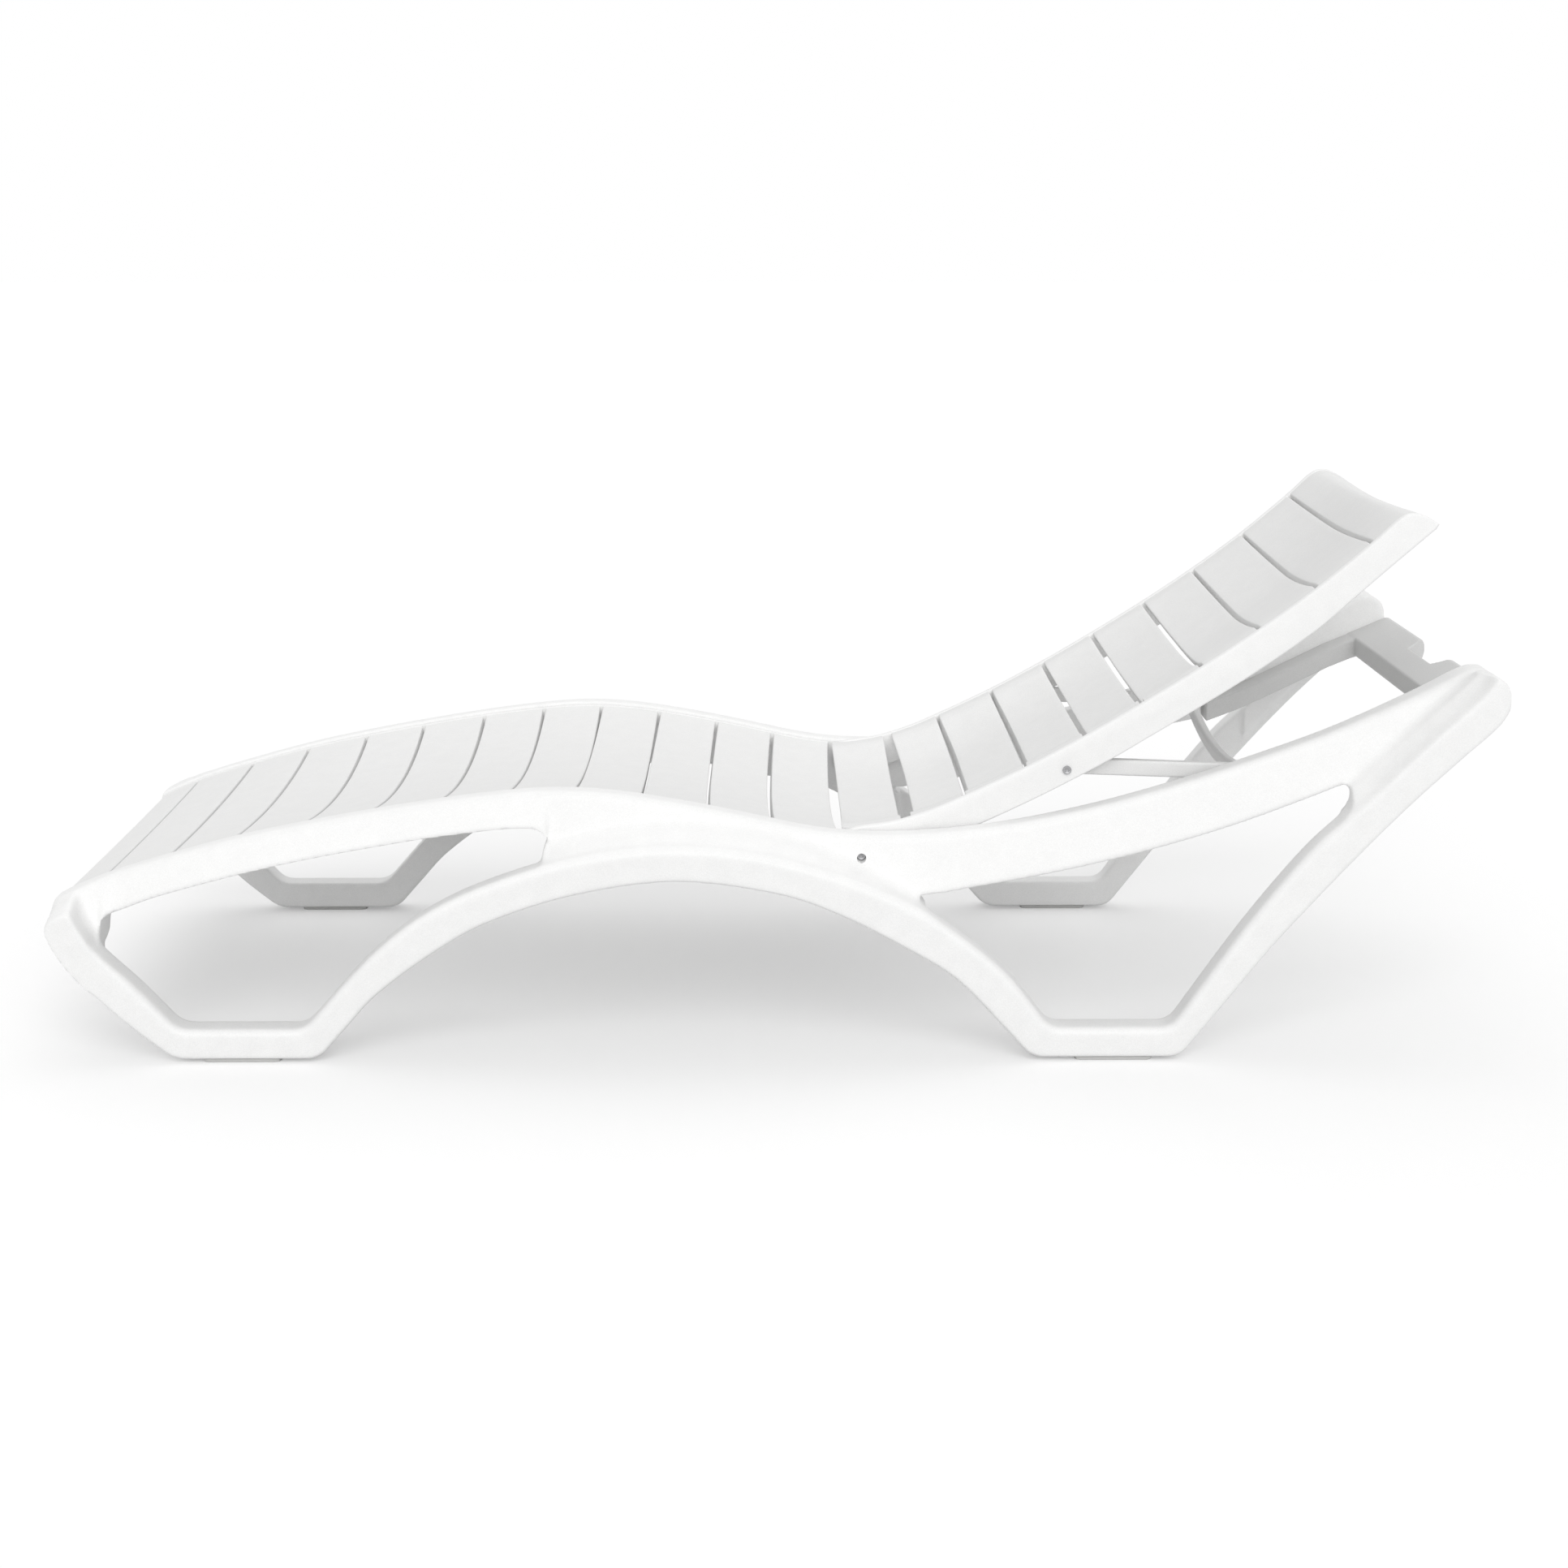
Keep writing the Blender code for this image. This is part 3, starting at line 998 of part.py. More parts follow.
def main():
    for thing in list(bpy.data.objects):
        bpy.data.objects.remove(thing)
    parts = bpy.data.collections.new("sun_lounger")
    cutters = bpy.data.collections.new("cutters")
    bpy.context.scene.collection.children.link(parts)
    bpy.context.scene.collection.children.link(cutters)
    frame_white = plastic("frame_white", (0.86, 0.86, 0.85), 0.42)
    deck_white = plastic("deck_white", (0.82, 0.82, 0.81), 0.50)
    back_white = plastic("backrest_white", (0.80, 0.80, 0.79), 0.50)
    prop_white = plastic("prop_white", (0.80, 0.80, 0.79), 0.48)
    sleeve = plastic("bush_nylon", (0.70, 0.70, 0.68), 0.40)
    pad_grey = plastic("pad_grey", (0.55, 0.55, 0.54), 0.80)
    steel = plastic("bolt_steel", (0.45, 0.45, 0.46), 0.35, 1.0)
    tube_steel = plastic("tube_steel", (0.60, 0.60, 0.61), 0.30, 1.0)

    back_axis = bpy.data.objects.new("backrest_axis", None)
    parts.objects.link(back_axis)
    back_axis.location = hinge_point()
    prop_axis = bpy.data.objects.new("prop_axis", None)
    parts.objects.link(prop_axis)
    prop_axis.location = prop_point()

    right = build_side_frame("right", 1, frame_white, parts, cutters)
    build_mirrored("side_frame_left", right, frame_white, parts)
    for label, side in (("left", -1), ("right", 1)):
        for place, share in zip(("front", "rear"), PAD_X_SHARES):
            build_pad("foot_pad_%s_%s" % (place, label), share * FRAME_LENGTH, side, pad_grey, parts,
                      cutters)
    build_deck(deck_white, parts, cutters)
    build_backrest(back_white, parts, cutters, back_axis)
    build_prop(prop_white, parts, cutters, prop_axis)
    build_cradle(frame_white, parts, cutters)
    for label, side in (("left", -1), ("right", 1)):
        build_rack(label, side, frame_white, sleeve, parts, cutters)
    build_nose_beam(frame_white, parts, cutters)
    build_tube(tube_steel, parts)
    build_pins(steel, sleeve, parts, back_axis)
    build_screws("deck_screw", deck_screw_points(), steel, parts)
    build_screws("cradle_screw", cradle_screw_points(), steel, parts)
    build_screws("rack_screw", rack_screw_points(), steel, parts, RACK_SCREW_LENGTH)
    build_screws("front_member_screw", nose_screw_points(), steel, parts)


main()
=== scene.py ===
"""Dresses the sun lounger: side frames, dished slats, backrest, prop, fasteners and a plain studio."""

import json
import math
from functools import partial, reduce

import bmesh
import bpy
import numpy as np
from mathutils import Matrix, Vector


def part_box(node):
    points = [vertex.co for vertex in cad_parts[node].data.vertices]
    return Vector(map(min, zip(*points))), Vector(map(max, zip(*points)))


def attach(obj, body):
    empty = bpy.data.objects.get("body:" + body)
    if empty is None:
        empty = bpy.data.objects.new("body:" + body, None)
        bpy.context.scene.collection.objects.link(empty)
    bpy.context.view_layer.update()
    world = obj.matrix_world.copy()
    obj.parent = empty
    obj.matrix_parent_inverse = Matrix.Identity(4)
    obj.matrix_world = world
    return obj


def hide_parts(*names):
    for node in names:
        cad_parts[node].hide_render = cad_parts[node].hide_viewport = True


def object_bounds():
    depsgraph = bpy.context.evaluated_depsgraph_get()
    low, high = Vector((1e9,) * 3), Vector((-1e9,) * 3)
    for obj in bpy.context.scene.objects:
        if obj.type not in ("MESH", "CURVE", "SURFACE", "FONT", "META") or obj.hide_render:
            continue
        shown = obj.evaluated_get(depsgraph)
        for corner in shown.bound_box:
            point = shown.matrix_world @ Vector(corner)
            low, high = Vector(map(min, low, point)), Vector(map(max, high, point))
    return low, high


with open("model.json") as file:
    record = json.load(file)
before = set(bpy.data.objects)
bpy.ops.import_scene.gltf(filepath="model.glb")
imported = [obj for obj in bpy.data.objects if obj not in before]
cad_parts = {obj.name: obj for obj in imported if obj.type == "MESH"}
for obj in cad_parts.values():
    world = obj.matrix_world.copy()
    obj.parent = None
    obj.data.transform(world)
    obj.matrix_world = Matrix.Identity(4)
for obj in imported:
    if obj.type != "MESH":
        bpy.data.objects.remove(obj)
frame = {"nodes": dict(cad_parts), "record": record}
CAD_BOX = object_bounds()

bl_info = {
    "name": "Sun Lounger",
    "version": (1, 0, 0),
    "blender": (4, 5, 0),
    "location": "3D View > Sidebar > Lounger",
    "description": "Builds the visible pieces of a slatted resin sun lounger around its solids",
    "category": "Object",
}

# Overall sizes of the lounger, in metres
LENGTH = 1.904
HEIGHT = 0.517
BACK = 0.865
FEET_Y = 0.350

# Outlines of a side frame, as shares of the length and the height
RAIL_TOP = (
    (-0.5000, 0.3880), (-0.4968, 0.4081), (-0.4645, 0.4603), (-0.4216, 0.5096), (-0.3692, 0.5616),
    (-0.3169, 0.6020), (-0.2646, 0.6367), (-0.2123, 0.6656), (-0.1704, 0.6820), (-0.1416, 0.6849),
    (-0.1075, 0.6763), (-0.0657, 0.6522), (-0.0238, 0.6214), (0.0180, 0.5876), (0.0494, 0.5712),
    (0.0861, 0.5673), (0.1280, 0.5767), (0.1753, 0.6014), (0.2279, 0.6443), (0.2806, 0.7007),
    (0.3332, 0.7665), (0.3858, 0.8396), (0.4383, 0.9302), (0.4650, 0.9830), (0.4776, 1.0010),
    (0.4840, 0.9990), (0.4903, 0.9830), (0.4935, 0.9600), (0.4944, 0.9340),
)
RAIL_FOOT = (
    (-0.5000, 0.3500), (-0.4940, 0.3150), (-0.4820, 0.2900), (-0.4700, 0.2940), (-0.4665, 0.3050),
    (-0.4640, 0.3560), (-0.4590, 0.3730), (-0.4500, 0.3850), (-0.4236, 0.4200), (-0.3697, 0.4744),
    (-0.3245, 0.5127), (-0.2795, 0.5444), (-0.2350, 0.5720), (-0.1900, 0.5928), (-0.1690, 0.5960),
    (-0.1630, 0.5930), (-0.1585, 0.5850), (-0.1555, 0.5720), (-0.1545, 0.5580), (-0.1543, 0.5200),
    (-0.1300, 0.5250), (-0.0987, 0.5400), (-0.0487, 0.4900),
    (0.0013, 0.4520), (0.0513, 0.4250), (0.1048, 0.4197), (0.1373, 0.4381), (0.1909, 0.4749),
    (0.2355, 0.5126), (0.2802, 0.5580), (0.3243, 0.6112), (0.3684, 0.6740), (0.3930, 0.7120),
    (0.4060, 0.7330), (0.4383, 0.7900), (0.4672, 0.8500), (0.4883, 0.9000), (0.4944, 0.9200),
)
LEG_RUNS = (
    ((-0.4819, 0.4333), (-0.4920, 0.4197), (-0.4970, 0.3810), (-0.4952, 0.3288), (-0.4832, 0.2495),
     (-0.4628, 0.1663), (-0.4404, 0.0870), (-0.4152, 0.0097)),
    ((-0.4152, 0.0097), (-0.3149, 0.0097)),
    ((-0.3149, 0.0097), (-0.2945, 0.0950), (-0.2710, 0.1876), (-0.2292, 0.3017), (-0.1920, 0.3770),
     (-0.1342, 0.4455), (-0.0659, 0.4796), (0.0024, 0.4470), (0.0475, 0.3880), (0.0937, 0.2980),
     (0.1270, 0.2186), (0.1590, 0.0950), (0.1799, 0.0097)),
    ((0.1799, 0.0097), (0.2833, 0.0097)),
    ((0.2833, 0.0097), (0.3160, 0.1700), (0.3421, 0.2990), (0.3661, 0.4050), (0.4076, 0.5825),
     (0.4344, 0.6889), (0.4633, 0.7933), (0.4880, 0.8820), (0.4944, 0.9400), (0.4915, 0.9800),
     (0.4845, 0.9960)),
    ((0.4845, 0.9960), (0.4724, 0.9400), (0.4404, 0.8250), (0.4120, 0.7176), (0.3884, 0.6364),
     (0.3626, 0.5397), (0.3233, 0.3501), (0.2765, 0.0890)),
    ((0.2765, 0.0890), (0.1925, 0.0890)),
    ((0.1925, 0.0890), (0.1610, 0.2340), (0.1242, 0.3462), (0.0932, 0.4178), (0.0475, 0.4894),
     (-0.0082, 0.5474), (-0.0612, 0.5677), (-0.1079, 0.5571), (-0.1641, 0.5106), (-0.2251, 0.4217),
     (-0.2723, 0.2979), (-0.3243, 0.0890)),
    ((-0.3243, 0.0890), (-0.4115, 0.0890)),
    ((-0.4115, 0.0890), (-0.4383, 0.2012), (-0.4640, 0.2979), (-0.4766, 0.3694), (-0.4819, 0.4333)),
)
ARCH_RUN = 2
LOOP_RUN = 5
LEG_ROUNDED = (1, 2, 3, 4, 6, 7, 8, 9)
CURVE_PARTS = 6
RUN_PARTS = 3
CORNER_PARTS = 6

# Section of the rail and the legs: distances from the middle plane, drops and roundings
RAIL_INNER = 0.258
RAIL_ARRIS = 0.2915
RAIL_FOOT_OUT = 0.308
RAIL_ARRIS_DROP = 0.008
RAIL_LEAST = 0.012
RAIL_FOOT_ROUND = 0.0035
RAIL_INNER_ROUND = 0.0025
LEG_IN = 0.310
LEG_CORNER = 0.016
LEG_INNER_ROUND = 0.004
LEG_TOP_ROUND = 0.012
LEG_CAP = 0.001
LEG_CAP_ROUND = 0.003
TOP_CAP = 0.0003
CAP_LEAN = 0.9

# What changes toward both ends of the side frames, as shares along the length, and by how much
FLARE = ((-0.5000, 1.0), (-0.4800, 0.9), (-0.4550, 0.0), (0.4000, 0.0), (0.4700, 0.8), (0.4944, 1.0))
FLARE_FOOT = 0.024
FLARE_ARRIS = 0.012
ENDS_EASED = ((-0.4750, 1.0), (-0.4350, 0.0), (0.3800, 0.0), (0.4200, 1.0))
ENDS_SHARPER = 0.6
LEG_JOIN = 0.004
END_JOIN = 0.009

# Webs between the rail and the legs: distances from the middle plane and roundings
WEB_FAR = 0.342
WEB_FILLET = 0.010
WEB_BED = 0.008
WEB_BED_LEAN = 0.85
WEB_END_ROUND = 0.002
WEB_FACE_ROUND = 0.003
MIDDLE_NEAR, MIDDLE_COVE = 0.268, 0.300
EAR_NEAR, EAR_COVE = 0.304, 0.316
NOSE_FAR = 0.348
NOSE_INSET = 0.002
NOSE_END_ROUND = 0.008
NOSE_TOP_ROUND = 0.003

# Where the webs run along the length, and their rise above the leg, as shares
MIDDLE_WEB = (-0.1546, 0.1013)
MIDDLE_RISE = ((-0.1541, 0.0300), (-0.0587, 0.0310), (0.0313, 0.0270), (0.1013, 0.0050))
EAR_WEB = (0.3950, 0.4860)
EAR_RISE = ((0.3950, 0.0450), (0.4845, 0.0450))
NOSE_CUT = -0.4500
NOSE_END = -0.4690
NOSE_FALL = 0.35
WELL_INSIDE = -1.0

# Grid of the side frames, in cells past the moulding, and the easing of its surface
GRID_PAST = 3
GRID_INSIDE = 2.5
EASE_ROUNDS = 3
EASE_SHARE = 0.5
EASE_BACK = 0.96

# Least lengths that count, how near points are when they are welded, and a distance past them all
TINY = 1e-9
LEAST_SQUARE = 1e-14
CLEAR = 1e-6
FAR = 1e9
WELD = 1e-5

# Deck: its front, its slots and the table of its dish are shares, and the rest is in metres
DECK_HALF = 0.2555
CURB = 0.0055
CURB_DEEP = 0.020
DECK_BELOW = 0.003
DECK_FRONT = -0.4968
DECK_END = 0.0880
DECK_LEAD = 0.0005
DECK_POINTS = 120
DECK_POWERS = (2.0, 2.0)
CURB_ROUND = 0.0022

# Slats and other folded or turned edges: the inner corner of a fold, then points, parts and turns
FOLD = 0.001
SLAT_STATIONS = 61
SLAT_PARTS = 12
EDGE_PARTS = 5
ROUND_TURNS = np.linspace(0, math.pi / 2, 5)
ALIKE = 0.1

# Places of the deck's slots and its dish
DECK_SLOTS = (-0.4678, -0.4220, -0.3763, -0.3286, -0.2820, -0.2326, -0.1841, -0.1375, -0.0905, -0.0440,
              0.0009)
DECK_DISH = 0.025
DECK_DISHES = ((-0.4985, 0.04), (-0.4706, 0.08), (-0.4233, 0.20), (-0.3776, 0.50), (-0.3298, 0.88),
               (-0.2834, 1.00), (0.0436, 1.00))

# Backrest, as shares of its reach from the hinge, with widths and roundings in metres
HINGE = (0.0617 * LENGTH, 0.5126 * HEIGHT)
PROP_PIN = (0.2049 * LENGTH, 0.7225 * HEIGHT)
CHEEK_TOP = (
    (-0.0264, 0.0172), (-0.0189, 0.0287), (-0.0017, 0.0350), (0.0306, 0.0396), (0.0629, 0.0460),
    (0.1112, 0.0621), (0.1574, 0.0823), (0.2506, 0.1272), (0.3399, 0.1761), (0.4257, 0.2275),
    (0.5127, 0.2827), (0.5980, 0.3409), (0.6815, 0.4037), (0.7599, 0.4711), (0.7973, 0.5068),
    (0.8164, 0.5172), (0.8371, 0.5149), (0.8601, 0.5016),
)
CHEEK_FOOT = (
    (0.8555, 0.4941), (0.7910, 0.4365), (0.7391, 0.3893), (0.6826, 0.3386), (0.5951, 0.2749),
    (0.5168, 0.2238), (0.4373, 0.1746), (0.3832, 0.1416), (0.2852, 0.0881), (0.1919, 0.0425),
    (0.1205, 0.0108), (0.0629, -0.0116), (0.0306, -0.0197), (-0.0017, -0.0238), (-0.0189, -0.0191),
    (-0.0264, -0.0082),
)
CHEEK_OUT = 0.253
CHEEK_WIDE = 0.012
CHEEK_ROUND = 0.003
BACK_SLOTS = (0.0700, 0.1584, 0.2520, 0.3425, 0.4277, 0.5160, 0.6006, 0.6844, 0.7630)
FIRST_SLOT = 0.012
BACK_SLOT_SHARES = (0.9, 0.9, 1.0, 1.0, 0.9, 0.8, 0.7, 0.7)
BACK_LIPS = (0, 1, 1, 0, 0, 0, 1, 1, 1)
BACK_START = (-0.0320, 0.0325)
BACK_DISH = 0.045
BACK_DISHES = ((-0.0260, 0.55), (0.0636, 0.75), (0.1584, 1.00), (0.3425, 0.93), (0.5160, 0.80),
               (0.6844, 0.66), (0.7630, 0.42), (0.8197, 0.16), (0.8636, 0.12))
BACK_POWERS = ((-0.0260, 3.0), (0.0636, 4.0), (0.1584, 6.0), (0.3425, 4.0), (0.5160, 1.8),
               (0.6006, 1.4), (0.8636, 1.6))
DISH_HALF = 0.2205
TOP_SLAT_POINTS = 4
BACK_LEAD = 0.0005
SLAT_TUCK = 0.003
BACK_HALF = CHEEK_OUT - CHEEK_WIDE + SLAT_TUCK
HEAD_DEEP = 0.006
BACK_PARTS = 8

# Solids that show with an eased skin: voxel size and rounds of easing
SKINS = {
    "rear_cradle": (0.0018, 4), "front_cross_member": (0.0022, 4), "prop_rack": (0.0010, 2),
    "prop_bail": (0.0014, 4),
}
SKIN_EASE = 0.5
MEMBER_MIDDLE = 0.5
MEMBER_ENDS = 0.232
MEMBER_ENDS_RUN = 0.014
MEMBER_NARROW = 0.78

# Fasteners
BOLT_SEATS = {"hinge": (HINGE, 0.2835), "prop": (PROP_PIN, 0.2525)}
BOLT_HEAD = 0.0057
BOLT_SHANK = 0.004
BOLT_KEY = 0.0028
BOLT_KNURL = 0.00018
BOLT_RIM = 0.0034
BOLT_TALL = 0.004
BOLT_CHAMFER = 0.0006
BOLT_TIP, BOLT_TIP_RUN = 0.0008, 0.001
BOLT_SOCKET = (0.0036, 0.0018)
BOLT_SOCKET_FLOOR = 0.0014
BORE_RADIUS = 0.0061
BORE_DEEP, BORE_END = 0.06, 0.062
BORE_FLARE = 0.002
ROUND_STEPS = 48
SCREW_HEAD = 0.0045
SCREW_TALL = 0.0028
SCREW_RADIUS = 0.0024
SCREW_HEAD_SHARES = ((1.0, 0.0), (1.0, 0.35), (0.86, 0.75), (0.45, 1.0), (0.30, 0.55), (0.0, 0.45))
SCREW_THREAD_SHARES = (0.78, 0.98)
SCREW_TURNS = 9
SCREW_TIP = 0.003
SCREW_PLAIN = 0.005
SCREW_STEPS = 20
EDGE_BEVEL = 0.0006
EDGE_ANGLE = 40

# Camera that matches the photograph
CAMERA_AT = (-0.0055, -3.125, 1.100)
CAMERA_PITCH = 14.543
CAMERA_YAW = 0.422
CAMERA_LENS = 51.43
CAMERA_SENSOR = 36.0
CAMERA_REACH = 200.0

# Studio: tilt and turn of each lamp, their spread, and the floor's light
LAMPS = {"front": (58.0, 3.0), "overhead": (-30.0, 0.0)}
LAMP_SPREAD = 60.0
FLOOR_LIGHT = 1.05
FLOOR_PLAIN = 0.72
WHITE = (1.0, 1.0, 1.0, 1.0)

# Finishes by material slot: a name, the property that holds the colour, and what the roughness gains
DULLER = 0.06
# The deck's and backrest's colours, which the prop shares, are greyer than the frame's as painted shade.
RESINS = {
    "frame_white": ("frame resin", "frame", 0.0),
    "deck_white": ("deck resin", "deck", DULLER),
    "backrest_white": ("backrest resin", "backrest", DULLER),
    "prop_white": ("prop resin", "backrest", 0.02),
}

# Finishes whose look is fixed: a name, a colour, a roughness, then the grain's size and depth
PLASTICS = {
    "bush_nylon": ("bush nylon", (0.70, 0.70, 0.68), 0.40, 0.0009, 0.00003),
    "pad_grey": ("pad grip", (0.55, 0.55, 0.54), 0.80, 0.0008, 0.0001),
}

# The same for steel, with the scale of its turning marks at the end
STEELS = {
    "bolt_steel": ("bolt steel", (0.42, 0.42, 0.43), 0.36, 1800.0),
    "tube_steel": ("tube steel", (0.60, 0.60, 0.61), 0.32, 900.0),
}


class LoungerPlastic(bpy.types.PropertyGroup):
    """Colours and surface of the moulded resin; the greyer deck, backrest and cradle colours are painted
    shade.
    """

    frame: bpy.props.FloatVectorProperty(
        name="Frame Colour", description="Colour of the side frames, cradle and front member",
        subtype="COLOR", size=3, min=0.0, max=1.0, default=(0.905, 0.905, 0.90))
    # Painted shade: the deck's colour is greyer than the frame's white to stand in for the shade on its
    # upward-facing slats.
    deck: bpy.props.FloatVectorProperty(
        name="Deck Colour", description="Colour of the deck and its slats",
        subtype="COLOR", size=3, min=0.0, max=1.0, default=(0.84, 0.84, 0.835))
    # Painted shade: the backrest's colour is greyer than the frame's white to stand in for the shade on its
    # slats; the prop takes it too.
    backrest: bpy.props.FloatVectorProperty(
        name="Backrest Colour", description="Colour of the backrest panel and the prop",
        subtype="COLOR", size=3, min=0.0, max=1.0, default=(0.82, 0.82, 0.815))
    # Painted shade: the cradle's colour is darker than the frame's white to stand in for the shadow the
    # backrest casts on it.
    cradle: bpy.props.FloatVectorProperty(
        name="Cradle Colour", description="Colour of the rear cradle, darkened as painted shade from the backrest",
        subtype="COLOR", size=3, min=0.0, max=1.0, default=(0.66, 0.66, 0.655))
    roughness: bpy.props.FloatProperty(
        name="Roughness", description="Roughness of the resin skin", min=0.0, max=1.0, default=0.46)
    grain: bpy.props.FloatProperty(
        name="Grain Size", description="Width of one bump of the moulded grain",
        subtype="DISTANCE", unit="LENGTH", min=0.0001, default=0.0016)
    grain_depth: bpy.props.FloatProperty(
        name="Grain Depth", description="Height of the grain's bumps",
        subtype="DISTANCE", unit="LENGTH", min=0.0, default=0.0003)


class LoungerShape(bpy.types.PropertyGroup):
    """Sizes of the moulded pieces that a user may change."""

    pitch: bpy.props.FloatProperty(
        name="Side Frame Pitch", description="Spacing of the points on the side frames",
        subtype="DISTANCE", unit="LENGTH", min=0.002, default=0.0032)
    crown: bpy.props.FloatProperty(
        name="Rail Rounding", description="Rounding of the rail's top outer edge",
        subtype="DISTANCE", unit="LENGTH", min=0.0, default=0.009)
    leg_round: bpy.props.FloatProperty(
        name="Leg Rounding", description="Rounding of the legs' lower and outer edges",
        subtype="DISTANCE", unit="LENGTH", min=0.0, default=0.005)
    loop_round: bpy.props.FloatProperty(
        name="Loop Rounding", description="Rounding of the legs' edges along the open loops",
        subtype="DISTANCE", unit="LENGTH", min=0.0, default=0.011)
    cove: bpy.props.FloatProperty(
        name="Cove", description="Radius of the cove between the rail and the webs",
        subtype="DISTANCE", unit="LENGTH", min=0.0, default=0.012)
    slot: bpy.props.FloatProperty(
        name="Slot", description="Open gap between two slats",
        subtype="DISTANCE", unit="LENGTH", min=0.001, default=0.005)
    slat_round: bpy.props.FloatProperty(
        name="Slat Rounding", description="Rounding of the slats' long edges",
        subtype="DISTANCE", unit="LENGTH", min=0.0005, default=0.0022)
    slat_skin: bpy.props.FloatProperty(
        name="Slat Thickness", description="Wall thickness of a slat",
        subtype="DISTANCE", unit="LENGTH", min=0.001, default=0.0035)
    flange: bpy.props.FloatProperty(
        name="Slat Flange", description="Depth of the slats' folded edges",
        subtype="DISTANCE", unit="LENGTH", min=0.004, default=0.0155)
    lip: bpy.props.FloatProperty(
        name="Slat Lip", description="How far a leaning flange reaches under the slat before it",
        subtype="DISTANCE", unit="LENGTH", min=0.0, default=0.007)
    slat_sink: bpy.props.FloatProperty(
        name="Slat Sink", description="How far the slats lie below the edge of the deck and the cheeks",
        subtype="DISTANCE", unit="LENGTH", min=0.0, default=0.0012)


class LoungerStudio(bpy.types.PropertyGroup):
    """Floor, lamps and background of the studio."""

    floor_size: bpy.props.FloatProperty(
        name="Floor Size", description="Edge length of the studio floor",
        subtype="DISTANCE", unit="LENGTH", min=2.0, default=60.0)
    ambient: bpy.props.FloatProperty(
        name="Ambient", description="Brightness of the even light around the lounger",
        min=0.0, default=0.58)
    front: bpy.props.FloatProperty(
        name="Front Lamp", description="Strength of the soft lamp in front of the lounger",
        min=0.0, default=1.42)
    overhead: bpy.props.FloatProperty(
        name="Overhead Lamp", description="Strength of the soft lamp above the lounger",
        min=0.0, default=0.5)
    shade_mix: bpy.props.FloatProperty(
        name="Floor Shade", description="Share of the floor that takes the lounger's shadow",
        min=0.0, max=1.0, default=0.80)


def spline(points, parts):
    """A smooth run through the points, with each step cut into equal parts."""
    p = np.array(points, float)
    if len(p) < 3 or parts < 2:
        return p
    ends = np.vstack([2 * p[0] - p[1], p, 2 * p[-1] - p[-2]])
    done = []
    for a, b, c, d in zip(ends, ends[1:], ends[2:], ends[3:]):
        for step in range(parts):
            t = step / parts
            done.append(0.5 * ((2 * b) + (c - a) * t + (2 * a - 5 * b + 4 * c - d) * t ** 2
                               + (3 * b - a - 3 * c + d) * t ** 3))
    return np.vstack([done, p[-1:]])


def placed(shares):
    """Shares of the length and the height as (x, z) places."""
    return [(x * LENGTH, z * HEIGHT) for x, z in shares]


def cornered(runs, cut):
    """One closed outline of smooth runs, with the corners between some of them rounded off."""
    lines = [spline(placed(run), CURVE_PARTS) for run in runs]
    done = []
    for k, line in enumerate(lines):
        step = np.concatenate([[0], np.cumsum(np.linalg.norm(np.diff(line, axis=0), axis=1))])
        start = cut if k in LEG_ROUNDED else 0.0
        end = step[-1] - (cut if (k + 1) % len(lines) in LEG_ROUNDED else 0.0)
        keep = line[(step > start + CLEAR) & (step < end - CLEAR)]
        first, last = [[np.interp(at, step, line[:, c]) for c in (0, 1)] for at in (start, end)]
        done.append(np.vstack([[first], keep, [last]]))
    ring = []
    for k, line in enumerate(done):
        ring.append(line)
        if (k + 1) % len(done) in LEG_ROUNDED:
            a, corner, b = line[-1], lines[k][-1], done[(k + 1) % len(done)][0]
            ring.append(np.array([(1 - t) ** 2 * a + 2 * t * (1 - t) * corner + t * t * b
                                  for t in np.linspace(0, 1, CORNER_PARTS + 1)[1:-1]]))
    return np.vstack(ring)


def read(table, x):
    """Values of a two-column table at x."""
    rows = np.array(table)
    return np.interp(x, rows[:, 0], rows[:, 1])


def smooth(t):
    """A share of 0 to 1 eased in and out."""
    return t * t * (3 - 2 * t)


def meet(a, b, r):
    """Field of what is inside both, with the edge between them rounded."""
    return np.minimum(np.maximum(a, b), -r) + np.hypot(np.maximum(a + r, 0), np.maximum(b + r, 0))


def join(a, b, r):
    """Field of what is inside either, with a cove between them."""
    return -meet(-a, -b, r)


def outline_field(outline, x, z):
    """Signed distance from each point of a grid to a closed outline, negative inside."""
    nearest = np.full(x.shape, FAR)
    inside = np.zeros(x.shape, bool)
    for (ax, az), (bx, bz) in zip(outline, np.roll(outline, -1, axis=0)):
        dx, dz = bx - ax, bz - az
        long = dx * dx + dz * dz
        if long < LEAST_SQUARE:
            continue
        t = np.clip(((x - ax) * dx + (z - az) * dz) / long, 0, 1)
        nearest = np.minimum(nearest, (x - ax - t * dx) ** 2 + (z - az - t * dz) ** 2)
        if az != bz:
            crossed = (az > z) != (bz > z)
            inside ^= crossed & (x < ax + (z - az) * dx / dz)
    return np.where(inside, -1, 1) * np.sqrt(nearest)


def line_distance(line, x, z):
    """Distance from each point of a grid to an open line."""
    nearest = np.full(x.shape, FAR)
    for (ax, az), (bx, bz) in zip(line, line[1:]):
        dx, dz = bx - ax, bz - az
        long = max(dx * dx + dz * dz, LEAST_SQUARE)
        t = np.clip(((x - ax) * dx + (z - az) * dz) / long, 0, 1)
        nearest = np.minimum(nearest, (x - ax - t * dx) ** 2 + (z - az - t * dz) ** 2)
    return np.sqrt(nearest)


